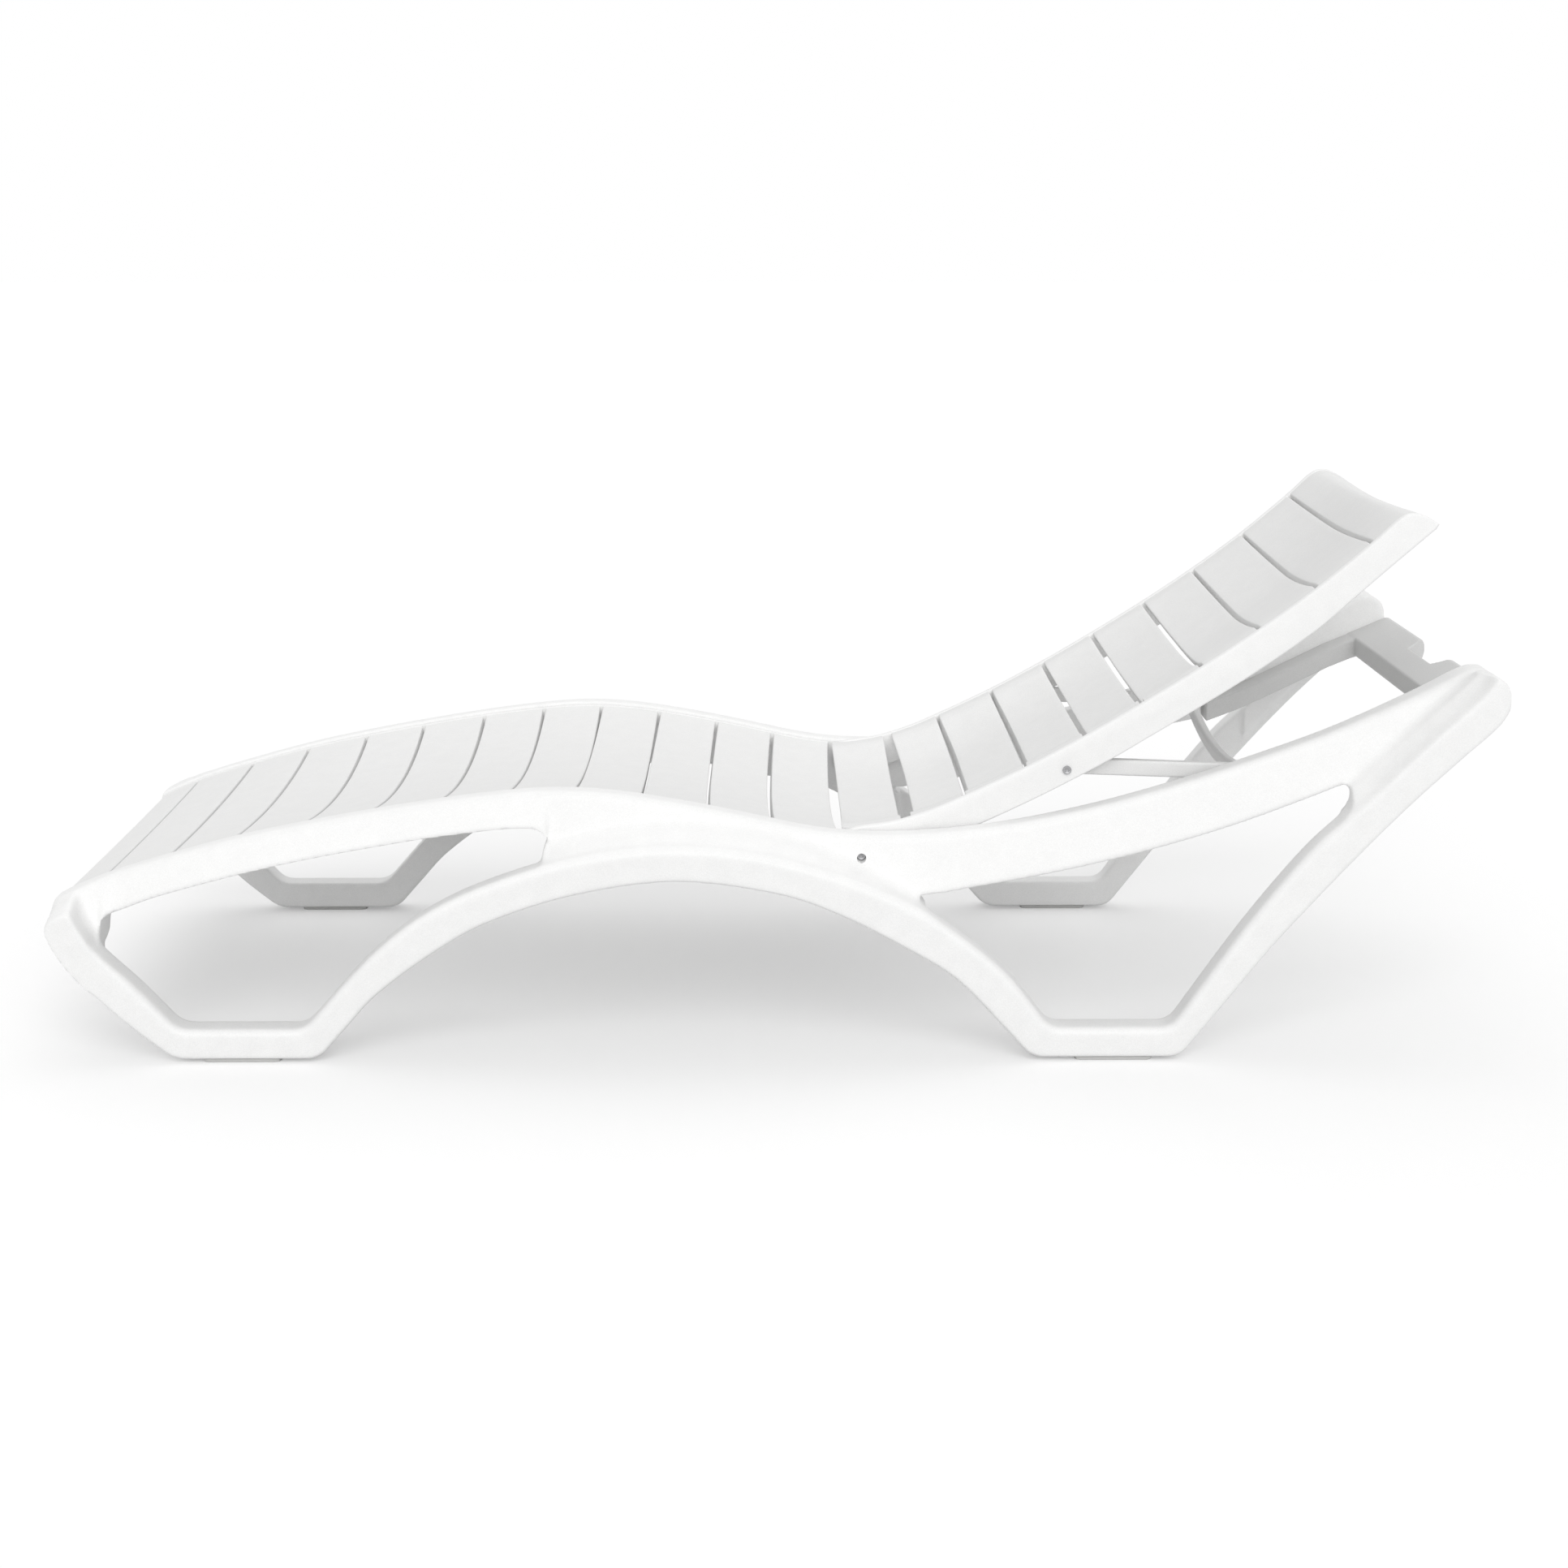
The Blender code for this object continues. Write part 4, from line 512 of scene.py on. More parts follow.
def raised(field, z_axis, shift):
    """The field's shape moved up by a shift for each column."""
    pitch = z_axis[1] - z_axis[0]
    at = np.arange(len(z_axis))[None, :] - shift / pitch
    low = np.clip(np.floor(at).astype(int), 0, len(z_axis) - 2)
    part = np.clip(at - low, 0, 1)
    below = np.take_along_axis(field, low, 1)
    return below + (np.take_along_axis(field, low + 1, 1) - below) * part


def net_surface(field, axes):
    """Points and quads of the surface where a field on a grid crosses zero."""
    inside = field < 0
    cells = tuple(n - 1 for n in field.shape)
    total = int(np.prod(cells))
    sums = [np.zeros(total) for _ in range(3)]
    count = np.zeros(total)
    quads = []
    for axis in range(3):
        first = [slice(None)] * 3
        second = [slice(None)] * 3
        first[axis], second[axis] = slice(None, -1), slice(1, None)
        cross = np.argwhere(inside[tuple(first)] != inside[tuple(second)])
        other = cross.copy()
        other[:, axis] += 1
        f0, f1 = field[tuple(cross.T)], field[tuple(other.T)]
        t = f0 / (f0 - f1)
        point = [axes[k][cross[:, k]] for k in range(3)]
        point[axis] = point[axis] + t * (axes[axis][1] - axes[axis][0])
        u, v = (axis + 1) % 3, (axis + 2) % 3
        ring = []
        for du, dv in ((-1, -1), (0, -1), (0, 0), (-1, 0)):
            cell = cross.copy()
            cell[:, u] += du
            cell[:, v] += dv
            flat = np.ravel_multi_index(tuple(cell.T), cells)
            ring.append(flat)
            count += np.bincount(flat, minlength=total)
            for k in range(3):
                sums[k] += np.bincount(flat, point[k], total)
        ring = np.column_stack(ring)
        ring[f0 > 0] = ring[f0 > 0][:, ::-1]
        quads.append(ring)
    used = np.flatnonzero(count)
    index = np.zeros(total, int)
    index[used] = np.arange(len(used))
    points = np.column_stack([s[used] / count[used] for s in sums])
    return points, index[np.vstack(quads)]


def relaxed(points, quads, rounds, share):
    """The points eased toward their neighbours, a little out again each time so nothing shrinks."""
    a = np.concatenate([quads[:, k] for k in range(4)])
    b = np.concatenate([quads[:, (k + 1) % 4] for k in range(4)])
    n = len(points)
    weight = np.bincount(a, minlength=n) + np.bincount(b, minlength=n)
    for step in range(rounds * 2):
        mean = np.column_stack([
            (np.bincount(a, points[b, k], n) + np.bincount(b, points[a, k], n)) / weight for k in range(3)])
        points = points + (mean - points) * (share if step % 2 == 0 else -share * EASE_BACK)
    return points


def mesh_of(name, points, faces):
    """A new mesh of points and faces."""
    mesh = bpy.data.meshes.new(name)
    mesh.from_pydata(np.asarray(points).tolist(), [], [list(map(int, face)) for face in faces])
    mesh.validate()
    mesh.update()
    return mesh


def added(name, data):
    """A new object of the data, linked to the scene."""
    thing = bpy.data.objects.new(name, data)
    bpy.context.scene.collection.objects.link(thing)
    return thing


def settled(name, mesh, finish, body, nodes, sharp=None):
    """Stands a finished mesh in the scene on its body, in place of its solids."""
    points = np.empty(len(mesh.vertices) * 3)
    mesh.vertices.foreach_get("co", points)
    mesh.vertices.foreach_set("co", np.clip(points.reshape(-1, 3), *CAD_BOX).ravel())
    piece = added(name, mesh)
    if finish is not None:
        mesh.materials.clear()
        mesh.materials.append(finish)
    for polygon in mesh.polygons:
        polygon.use_smooth = True
    if sharp is not None:
        mesh.set_sharp_from_angle(angle=math.radians(sharp))
    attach(piece, body)
    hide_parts(*nodes)
    return piece


def turned_out(mesh):
    """Welds a mesh and points its faces outward."""
    bm = bmesh.new()
    bm.from_mesh(mesh)
    bmesh.ops.remove_doubles(bm, verts=bm.verts, dist=WELD)
    bmesh.ops.recalc_face_normals(bm, faces=bm.faces)
    bm.to_mesh(mesh)
    bm.free()
    return mesh


def evaluated(piece):
    """A plain mesh of what the modifiers of an object make, with the object removed."""
    bpy.context.view_layer.update()
    graph = bpy.context.evaluated_depsgraph_get()
    mesh = bpy.data.meshes.new_from_object(piece.evaluated_get(graph))
    bpy.data.objects.remove(piece)
    return mesh


def plug(tree, node, inputs):
    """Links or sets a node's inputs."""
    for socket, value in dict(inputs).items():
        if isinstance(value, bpy.types.NodeSocket):
            tree.links.new(value, node.inputs[socket])
        else:
            node.inputs[socket].default_value = value


def add_node(tree, kind, inputs=(), **settings):
    """A new node of a tree, with its settings and inputs."""
    node = tree.nodes.new(kind)
    for key, value in settings.items():
        setattr(node, key, value)
    plug(tree, node, inputs)
    return node


def shader_nodes(name):
    """A new material with its node tree, its shader and a function that adds linked nodes."""
    finish = bpy.data.materials.new(name)
    finish.use_nodes = True
    tree = finish.node_tree
    return finish, tree, tree.nodes["Principled BSDF"], partial(add_node, tree)


def noise(add, place, scale, detail, roughness):
    """A noise pattern over the piece's own coordinates."""
    inputs = {"Vector": place, "Scale": scale, "Detail": detail, "Roughness": roughness}
    return add("ShaderNodeTexNoise", inputs).outputs["Fac"]


def ranged(add, value, start, end, low, high):
    """A value's range from start to end, spread from low to high."""
    inputs = {"Value": value, "From Min": start, "From Max": end, "To Min": low, "To Max": high}
    return add("ShaderNodeMapRange", inputs).outputs["Result"]


def tinted(add, share, low, high):
    """A colour between two, by a share."""
    return add("ShaderNodeMix", {0: share, 6: (*low, 1.0), 7: (*high, 1.0)}, data_type="RGBA").outputs[2]


def seen_directly(add):
    """1 for rays from the camera, off a gloss or through glass, and 0 for the rest."""
    rays = add("ShaderNodeLightPath").outputs
    seen = add("ShaderNodeMath", {0: rays["Is Camera Ray"], 1: rays["Is Glossy Ray"]}, operation="MAXIMUM")
    inputs = {0: seen.outputs[0], 1: rays["Is Transmission Ray"]}
    return add("ShaderNodeMath", inputs, operation="MAXIMUM").outputs[0]


def resin(name, colour, roughness, grain, depth):
    """Moulded resin: fine grain, faint mottling, slow sink marks and slightly polished high spots."""
    finish, tree, shader, add = shader_nodes(name)
    place = add("ShaderNodeTexCoord").outputs["Object"]
    fine = noise(add, place, 1 / grain, 3.0, 0.6)
    slow = noise(add, place, 7.0, 2.0, 0.5)
    cloud = noise(add, place, 38.0, 4.0, 0.62)
    tint = tinted(add, ranged(add, cloud, 0.35, 0.65, 0.0, 1.0),
                  [c * 0.985 for c in colour], [min(1.0, c * 1.012) for c in colour])
    speckled = add("ShaderNodeVectorMath", {0: tint, "Scale": ranged(add, fine, 0.3, 0.7, 0.955, 1.03)},
                   operation="SCALE")
    waves = add("ShaderNodeBump", {"Height": slow, "Strength": 0.35, "Distance": 0.004})
    bump = add("ShaderNodeBump", {"Height": fine, "Strength": 0.8, "Distance": depth,
                                  "Normal": waves.outputs["Normal"]})
    plug(tree, shader, {
        "Base Color": speckled.outputs[0],
        "Roughness": ranged(add, cloud, 0.3, 0.7, roughness - 0.05, roughness + 0.06),
        "Normal": bump.outputs["Normal"],
        "IOR": 1.49,
        "Specular IOR Level": 0.42,
    })
    return finish


def steel(name, colour, roughness, brush):
    """Plated steel with fine turning marks and duller spots."""
    finish, tree, shader, add = shader_nodes(name)
    place = add("ShaderNodeTexCoord").outputs["Object"]
    marks = noise(add, place, brush, 5.0, 0.7)
    spots = noise(add, place, 260.0, 3.0, 0.6)
    bump = add("ShaderNodeBump", {"Height": marks, "Strength": 0.4, "Distance": 0.00005})
    plug(tree, shader, {
        "Base Color": tinted(add, spots, [c * 0.72 for c in colour], colour),
        "Roughness": ranged(add, spots, 0.0, 1.0, roughness - 0.08, roughness + 0.12),
        "Normal": bump.outputs["Normal"],
        "Metallic": 1.0,
    })
    return finish


def finishes():
    """The lounger's finishes by material slot, made once."""
    made = bpy.context.scene.lounger_plastic
    looks = {}
    for slot, (name, colour, rougher) in RESINS.items():
        look = (getattr(made, colour), made.roughness + rougher, made.grain, made.grain_depth)
        looks[slot] = (resin, name, *look)
    for make, table in ((resin, PLASTICS), (steel, STEELS)):
        for slot, look in table.items():
            looks[slot] = (make, *look)
    found = {}
    for slot, (make, name, *look) in looks.items():
        known = bpy.data.materials.get(name)
        found[slot] = known if known is not None else make(name, *look)
    return found


def fillet_reach(far):
    """How far a web's end runs on past its cut, by the distance from what it blends into."""
    gone = np.clip(WEB_FILLET - np.maximum(far, 0), 0, WEB_FILLET)
    return WEB_FILLET - np.sqrt(np.maximum(WEB_FILLET ** 2 - gone ** 2, 0))


def leg_roundings(shape, x, z):
    """Rounding of the legs' outer edges, which differs between the open loops and the other sides."""
    lower, upper = [
        line_distance(np.vstack([spline(placed(run), RUN_PARTS) for run in runs]), x, z)
        for runs in (LEG_RUNS[:LOOP_RUN], LEG_RUNS[LOOP_RUN:])]
    return shape.leg_round + (shape.loop_round - shape.leg_round) * lower / (lower + upper + TINY)


def side_frame_surface(shape):
    """Points and quads of the right side frame: rail, leg ring and webs as one moulding."""
    pitch = shape.pitch
    half = LENGTH / 2 + GRID_PAST * pitch
    axes = (np.arange(-half, half + pitch, pitch),
            np.arange(RAIL_INNER - GRID_INSIDE * pitch, FEET_Y + GRID_PAST * pitch, pitch),
            np.arange(-GRID_PAST * pitch, HEIGHT + (GRID_PAST + 1) * pitch, pitch))
    x, z = np.meshgrid(axes[0], axes[2], indexing="ij")
    share = axes[0] / LENGTH
    ends, flare = read(ENDS_EASED, share)[:, None], read(FLARE, share)[:, None]
    top, foot = spline(placed(RAIL_TOP), CURVE_PARTS), spline(placed(RAIL_FOOT), CURVE_PARTS)
    high, low = read(top, axes[0])[:, None], read(foot, axes[0])[:, None]
    rail = outline_field(np.vstack([top, foot[::-1]]), x, z)
    leg = outline_field(cornered(LEG_RUNS, LEG_CORNER), x, z)
    leg = meet(leg, (z - high - LEG_CAP) * CAP_LEAN, LEG_CAP_ROUND)
    leg_rounding = leg_roundings(shape, x, z) * (1 - ENDS_SHARPER * ends)
    foot_out, arris_out = RAIL_FOOT_OUT + FLARE_FOOT * flare, RAIL_ARRIS + FLARE_ARRIS * flare
    tall = np.maximum(high - RAIL_ARRIS_DROP - low, RAIL_LEAST)
    out = foot_out + (z - low) / tall * (arris_out - foot_out)
    lean = tall / np.hypot(tall, foot_out - arris_out)
    rounding = RAIL_FOOT_ROUND + (shape.crown - RAIL_FOOT_ROUND) * np.clip((z - low) / tall, 0, 1)
    under = read(spline(placed(LEG_RUNS[ARCH_RUN]), CURVE_PARTS), axes[0])[:, None] + WEB_BED
    reach = fillet_reach(leg) + fillet_reach(rail)
    leg_middle = (LEG_IN + FEET_Y) / 2

    def flat(value):
        return np.full(x.shape, value)

    def web_slice(y, run, rises, near, cove):
        """The leg's shape raised toward the rail and cut to the web's run, at one distance y."""
        climb = np.clip((WEB_FAR - y) / (WEB_FAR - cove), 0, 1)
        if near == MIDDLE_NEAR:
            climb = smooth(climb)
        shift = read(rises, share)[:, None] * HEIGHT * climb
        web = raised(leg, axes[2], np.broadcast_to(shift, x.shape))
        if near == MIDDLE_NEAR:
            web = meet(web, (under - z) * WEB_BED_LEAN, WEB_END_ROUND)
        window = np.maximum(run[0] * LENGTH - reach - x, x - run[1] * LENGTH - reach)
        web = meet(web, window, WEB_END_ROUND)
        return meet(web, flat(max(near - y, y - WEB_FAR)), WEB_FACE_ROUND)

    field = np.empty([len(axis) for axis in axes])
    for j, y in enumerate(axes[1]):
        body = meet(rail, (y - out) * lean, rounding)
        body = meet(body, flat(RAIL_INNER - y), RAIL_INNER_ROUND)
        body = join(body, web_slice(y, MIDDLE_WEB, MIDDLE_RISE, MIDDLE_NEAR, MIDDLE_COVE), shape.cove)
        body = join(body, web_slice(y, EAR_WEB, EAR_RISE, EAR_NEAR, EAR_COVE), shape.cove)
        fall = max(0.0, y - RAIL_ARRIS) * NOSE_FALL
        crest = np.where(x < NOSE_CUT * LENGTH, (z - high + fall) * CAP_LEAN, WELL_INSIDE)
        nose = meet(meet(leg + NOSE_INSET, x - NOSE_END * LENGTH, NOSE_END_ROUND), crest, NOSE_TOP_ROUND)
        nose = meet(nose, flat(max(MIDDLE_NEAR - y, y - NOSE_FAR)), WEB_FACE_ROUND)
        body = join(body, nose, shape.cove)
        strip = flat(abs(y - leg_middle) - (FEET_Y - LEG_IN) / 2)
        edge = leg_rounding if y > leg_middle else LEG_INNER_ROUND
        bar = meet(meet(leg, crest, LEG_TOP_ROUND), strip, edge)
        body = join(body, bar, LEG_JOIN + (END_JOIN - LEG_JOIN) * ends)
        field[:, j, :] = np.maximum(body, z - high - TOP_CAP)
    points, quads = net_surface(field, axes)
    limit = np.array([LENGTH / 2, FEET_Y, HEIGHT])
    return np.clip(relaxed(points, quads, EASE_ROUNDS, EASE_SHARE), -limit, limit), quads


class LOUNGER_OT_side_frames(bpy.types.Operator):
    """Build both side frames, each one moulding with a bore for the hinge bolt"""

    bl_idname = "lounger.side_frames"
    bl_label = "Side Frames"

    def execute(self, context):
        points, quads = side_frame_surface(context.scene.lounger_shape)
        finish = finishes()["frame_white"]
        (x, z), seat = BOLT_SEATS["hinge"]
        bored = ((0.0, 0.0), (BORE_RADIUS, 0.0), (BORE_RADIUS, BORE_DEEP),
                 (BORE_RADIUS + BORE_FLARE, BORE_END), (0.0, BORE_END))
        for label, side in (("left", -1), ("right", 1)):
            turn = np.array([1.0, side, 1.0])
            faces = quads if side > 0 else quads[:, ::-1]
            piece = added("blank", mesh_of("side frame", points * turn, faces))
            bore = added("bore", lathe("bore", bored, ROUND_STEPS))
            bore.data.transform(stand(x, z, seat, side))
            cut = piece.modifiers.new("Bore", "BOOLEAN")
            cut.operation = "DIFFERENCE"
            cut.solver = "EXACT"
            cut.object = bore
            mesh = evaluated(piece)
            bpy.data.objects.remove(bore)
            settled("side_moulding_" + label, mesh, finish, "frame",
                    ("side_frame_" + label,), sharp=50)
        return {"FINISHED"}


def stand(x, z, y, side):
    """Places what is turned about +Z so that it runs outward along Y on one side."""
    return Matrix.Translation((x, side * y, z)) @ Matrix.Rotation(math.radians(-90.0 * side), 4, "X")


def lathe(name, profile, steps):
    """A closed solid about Z from rows of a radius, or of one radius for each step, and a height."""
    bm = bmesh.new()
    rings = []
    for radius, height in profile:
        radii = np.broadcast_to(radius, steps)
        if radii.max() < TINY:
            rings.append([bm.verts.new((0.0, 0.0, height))] * steps)
            continue
        ring = []
        for k, r in enumerate(radii):
            turn = math.tau * k / steps
            ring.append(bm.verts.new((r * math.cos(turn), r * math.sin(turn), height)))
        rings.append(ring)
    for one, two in zip(rings, rings[1:]):
        for k in range(steps):
            corners = [one[k], one[(k + 1) % steps], two[(k + 1) % steps], two[k]]
            unique = [v for i, v in enumerate(corners) if v not in corners[:i]]
            if len(unique) > 2:
                bm.faces.new(unique)
    bmesh.ops.recalc_face_normals(bm, faces=bm.faces)
    mesh = bpy.data.meshes.new(name)
    bm.to_mesh(mesh)
    bm.free()
    return mesh


class Tree:
    """A geometry node tree with named inputs, built node by node."""

    def __init__(self, name, inputs):
        self.group = bpy.data.node_groups.new(name, "GeometryNodeTree")
        face = self.group.interface
        face.new_socket("Geometry", in_out="INPUT", socket_type="NodeSocketGeometry")
        for title, kind in inputs:
            face.new_socket(title, in_out="INPUT", socket_type=kind)
        face.new_socket("Geometry", in_out="OUTPUT", socket_type="NodeSocketGeometry")
        self.source = self.group.nodes.new("NodeGroupInput")
        self.sink = self.group.nodes.new("NodeGroupOutput")
        self.add = partial(add_node, self.group)

    def asked(self, title):
        """The tree's input of that name."""
        return self.source.outputs[title]

    def stored(self, name, kind="FLOAT"):
        """A value that the points carry."""
        return self.add("GeometryNodeInputNamedAttribute", {"Name": name}, data_type=kind).outputs[0]

    def number(self, kind, a, b=0.0):
        return self.add("ShaderNodeMath", {0: a, 1: b}, operation=kind).outputs[0]

    def alike(self, a, b):
        """1 where two values are nearly equal, and 0 elsewhere."""
        return self.add("ShaderNodeMath", {0: a, 1: b, 2: ALIKE}, operation="COMPARE").outputs[0]

    def product(self, *terms):
        return reduce(partial(self.number, "MULTIPLY"), terms)

    def total(self, *terms):
        return reduce(partial(self.number, "ADD"), terms)

    def vector(self, kind, a, b=(0.0, 0.0, 0.0)):
        inputs = {0: a} if kind == "NORMALIZE" else {0: a, 1: b}
        return self.add("ShaderNodeVectorMath", inputs, operation=kind).outputs[0]

    def scaled(self, a, scale):
        return self.add("ShaderNodeVectorMath", {0: a, "Scale": scale}, operation="SCALE").outputs[0]

    def set_out(self, title, **turned):
        """The asked object on each guide point, made real geometry."""
        unit = self.add("GeometryNodeObjectInfo", {"Object": self.asked(title)}).outputs["Geometry"]
        inputs = {"Points": self.asked("Geometry"), "Instance": unit, **turned}
        copies = self.add("GeometryNodeInstanceOnPoints", inputs).outputs[0]
        return self.add("GeometryNodeRealizeInstances", {"Geometry": copies}).outputs[0]

    def finish(self, geometry):
        """Gives the geometry the asked finish and passes it out."""
        inputs = {"Geometry": geometry, "Material": self.asked("Finish")}
        done = self.add("GeometryNodeSetMaterial", inputs).outputs[0]
        self.group.links.new(done, self.sink.inputs[0])

    def run(self, piece, values):
        """Runs the tree on an object and returns the plain mesh it makes."""
        step = piece.modifiers.new(self.group.name, "NODES")
        step.node_group = self.group
        for item in self.group.interface.items_tree:
            if item.item_type == "SOCKET" and item.in_out == "INPUT" and item.name in values:
                step[item.identifier] = values[item.name]
        return evaluated(piece)


def quarter(radius, turns):
    """Steps around a quarter-round edge: how far each lies in from the one face and from the other."""
    return [(radius * (1 - math.cos(t)), radius * (1 - math.sin(t))) for t in turns]


def ring_faces(rings, count):
    """Quads that join rings of points, all of one count, ring after ring."""
    faces = []
    for i in range(rings - 1):
        for k in range(count):
            a, b = i * count + k, i * count + (k + 1) % count
            faces.append((a, a + count, b + count, b))
    return faces


def capped(name, points, count):
    """A closed mesh of rings of points, joined ring after ring, with both ends capped."""
    faces = ring_faces(len(points) // count, count)
    faces += [tuple(range(count)), tuple(range(len(points) - count, len(points)))]
    return turned_out(mesh_of(name, points, faces))


def slat_template(shape):
    """A closed channel slat of one unit, whose points say where they lie on a real one."""
    skin = shape.slat_skin
    fold = skin + FOLD
    edge = quarter(shape.slat_round, [math.radians(90) * k / EDGE_PARTS for k in range(EDGE_PARTS + 1)])
    spans = [k / SLAT_PARTS for k in range(1, SLAT_PARTS)]
    rows = [(0.0, 0.0, 0.0, 1.0)]
    rows += [(0.0, inset, down, 0.0) for inset, down in edge]
    rows += [(a, 0.0, 0.0, 0.0) for a in spans]
    rows += [(1.0, -inset, down, 0.0) for inset, down in reversed(edge)]
    rows += [(1.0, 0.0, 0.0, 2.0), (1.0, -skin, 0.0, 2.0), (1.0, -skin, fold, 0.0), (1.0, -fold, skin, 0.0)]
    rows += [(a, 0.0, skin, 0.0) for a in reversed(spans)]
    rows += [(0.0, fold, skin, 0.0), (0.0, skin, fold, 0.0), (0.0, skin, 0.0, 1.0)]
    across = np.linspace(-1, 1, SLAT_STATIONS)
    count = len(rows)
    points = [(a + forward, s, -down) for s in across for a, forward, down, _ in rows]
    faces = ring_faces(SLAT_STATIONS, count)
    for base, turn in ((0, 1), ((SLAT_STATIONS - 1) * count, -1)):
        for k in range(count // 2 - 1):
            quad = (base + k, base + k + 1, base + count - 2 - k, base + count - 1 - k)
            faces.append(quad[::turn])
    mesh = mesh_of("slat", points, faces)
    for at, key in enumerate(("along", "forward", "down", "skirt")):
        store(mesh, key, "FLOAT", [row[at] for row in rows] * SLAT_STATIONS)
    store(mesh, "across", "FLOAT", [s for s in across for _ in rows])
    return mesh


def store(mesh, name, kind, column):
    """Stores one value for each point of a mesh, under a name."""
    layer = mesh.attributes.new(name, kind, "POINT")
    layer.data.foreach_set("vector" if kind == "FLOAT_VECTOR" else "value", np.array(column, float).ravel())


def slat_tree():
    """Sets one slat on each guide point, between its start and end, dished across its width."""
    tree = Tree("slats", (("Slat", "NodeSocketObject"), ("Half Width", "NodeSocketFloat"),
                          ("Dish Half Width", "NodeSocketFloat"), ("Sink", "NodeSocketFloat"),
                          ("Finish", "NodeSocketMaterial")))
    real = tree.set_out("Slat")
    start, end = tree.stored("start", "FLOAT_VECTOR"), tree.stored("end", "FLOAT_VECTOR")
    along, across = tree.stored("along"), tree.stored("across")
    run = tree.vector("SUBTRACT", end, start)
    lead = tree.vector("NORMALIZE", run)
    up = tree.vector("CROSS_PRODUCT", lead, (0.0, 1.0, 0.0))
    place = tree.vector("ADD", start, tree.scaled(run, along))
    place = tree.vector("ADD", place, tree.scaled(lead, tree.stored("forward")))
    rest = tree.number("SUBTRACT", 1.0, along)

    def blended(first, last):
        return tree.total(tree.product(tree.stored(first), rest), tree.product(tree.stored(last), along))

    bulge = tree.product(along, rest, 4.0, tree.stored("bulge"))
    wide = tree.product(tree.number("ABSOLUTE", across), tree.asked("Half Width"))
    wide = tree.number("DIVIDE", wide, tree.asked("Dish Half Width"))
    bowl = tree.number("SUBTRACT", 1.0, tree.number("POWER", wide, blended("power_front", "power_rear")))
    dish = tree.product(tree.number("MAXIMUM", bowl, 0.0), blended("drop_front", "drop_rear"))
    skirt = tree.stored("skirt")
    at_front, at_rear = tree.alike(skirt, 1.0), tree.alike(skirt, 2.0)
    place = tree.vector("SUBTRACT", place, tree.scaled(lead, tree.product(at_front, tree.stored("lip"))))
    front = tree.product(at_front, tree.stored("skirt_front"))
    rear = tree.product(at_rear, tree.stored("skirt_rear"))
    down = tree.total(tree.total(tree.stored("down"), dish), tree.total(front, rear, tree.asked("Sink")))
    place = tree.vector("ADD", place, tree.scaled(up, tree.number("SUBTRACT", bulge, down)))
    side = tree.add("ShaderNodeCombineXYZ", {1: tree.product(across, tree.asked("Half Width"))})
    place = tree.vector("ADD", place, side.outputs[0])
    tree.finish(tree.add("GeometryNodeSetPosition", {"Geometry": real, "Position": place}).outputs[0])
    return tree


def slats_mesh(name, rows, half, dish_half, finish, shape):
    """Runs the slat tree over guide points, one row of values for each slat."""
    unit = added("slat unit", slat_template(shape))
    guide = mesh_of(name, [row["start"] for row in rows], [])
    for key in rows[0]:
        kind = "FLOAT_VECTOR" if key in ("start", "end") else "FLOAT"
        store(guide, key, kind, [row[key] for row in rows])
    mesh = slat_tree().run(added(name, guide), {
        "Slat": unit, "Half Width": half, "Dish Half Width": dish_half, "Sink": shape.slat_sink,
        "Finish": finish})
    bpy.data.objects.remove(unit)
    for key in list(mesh.attributes.keys()):
        if key in ("along", "across", "forward", "down", "skirt") or key in rows[0]:
            mesh.attributes.remove(mesh.attributes[key])
    return turned_out(mesh)


def slat_row(line, front, rear, drops, powers, skirts, lip=0.0):
    """Guide values of one slat between two x values of an edge line."""
    a, b = (front, float(read(line, front))), (rear, float(read(line, rear)))
    middle = float(read(line, (front + rear) / 2)) - (a[1] + b[1]) / 2
    lean = (rear - front) / math.hypot(rear - front, b[1] - a[1])
    return {"start": (a[0], 0.0, a[1]), "end": (b[0], 0.0, b[1]), "bulge": middle * lean,
            "drop_front": drops[0], "drop_rear": drops[1],
            "power_front": powers[0], "power_rear": powers[1],
            "skirt_front": skirts[0], "skirt_rear": skirts[1], "lip": lip}


def deck_line():
    """The deck's edge line, just below the top of the rail."""
    rail = spline(placed(RAIL_TOP), CURVE_PARTS)
    xs = np.linspace(DECK_FRONT * LENGTH, DECK_END, DECK_POINTS)
    return np.column_stack([xs, read(rail, xs) - DECK_BELOW])


def directions(line):
    """Unit directions along a line of (x, z) points, and square to it on its upper side."""
    lead = np.gradient(line, axis=0)
    lead /= np.linalg.norm(lead, axis=1)[:, None]
    return lead, np.column_stack([-lead[:, 1], lead[:, 0]])


def swept(name, line, section, side):
    """A bar of one closed section carried along a line of (x, z) points, on one side."""
    points = []
    for place, rise in zip(line, directions(line)[1]):
        points += [(place[0] + rise[0] * v, side * u, place[1] + rise[1] * v) for u, v in section]
    return capped(name, points, len(section))


def mixed(name, meshes):
    """Several meshes as one."""
    bm = bmesh.new()
    for mesh in meshes:
        bm.from_mesh(mesh)
    whole = bpy.data.meshes.new(name)
    bm.to_mesh(whole)
    bm.free()
    return whole


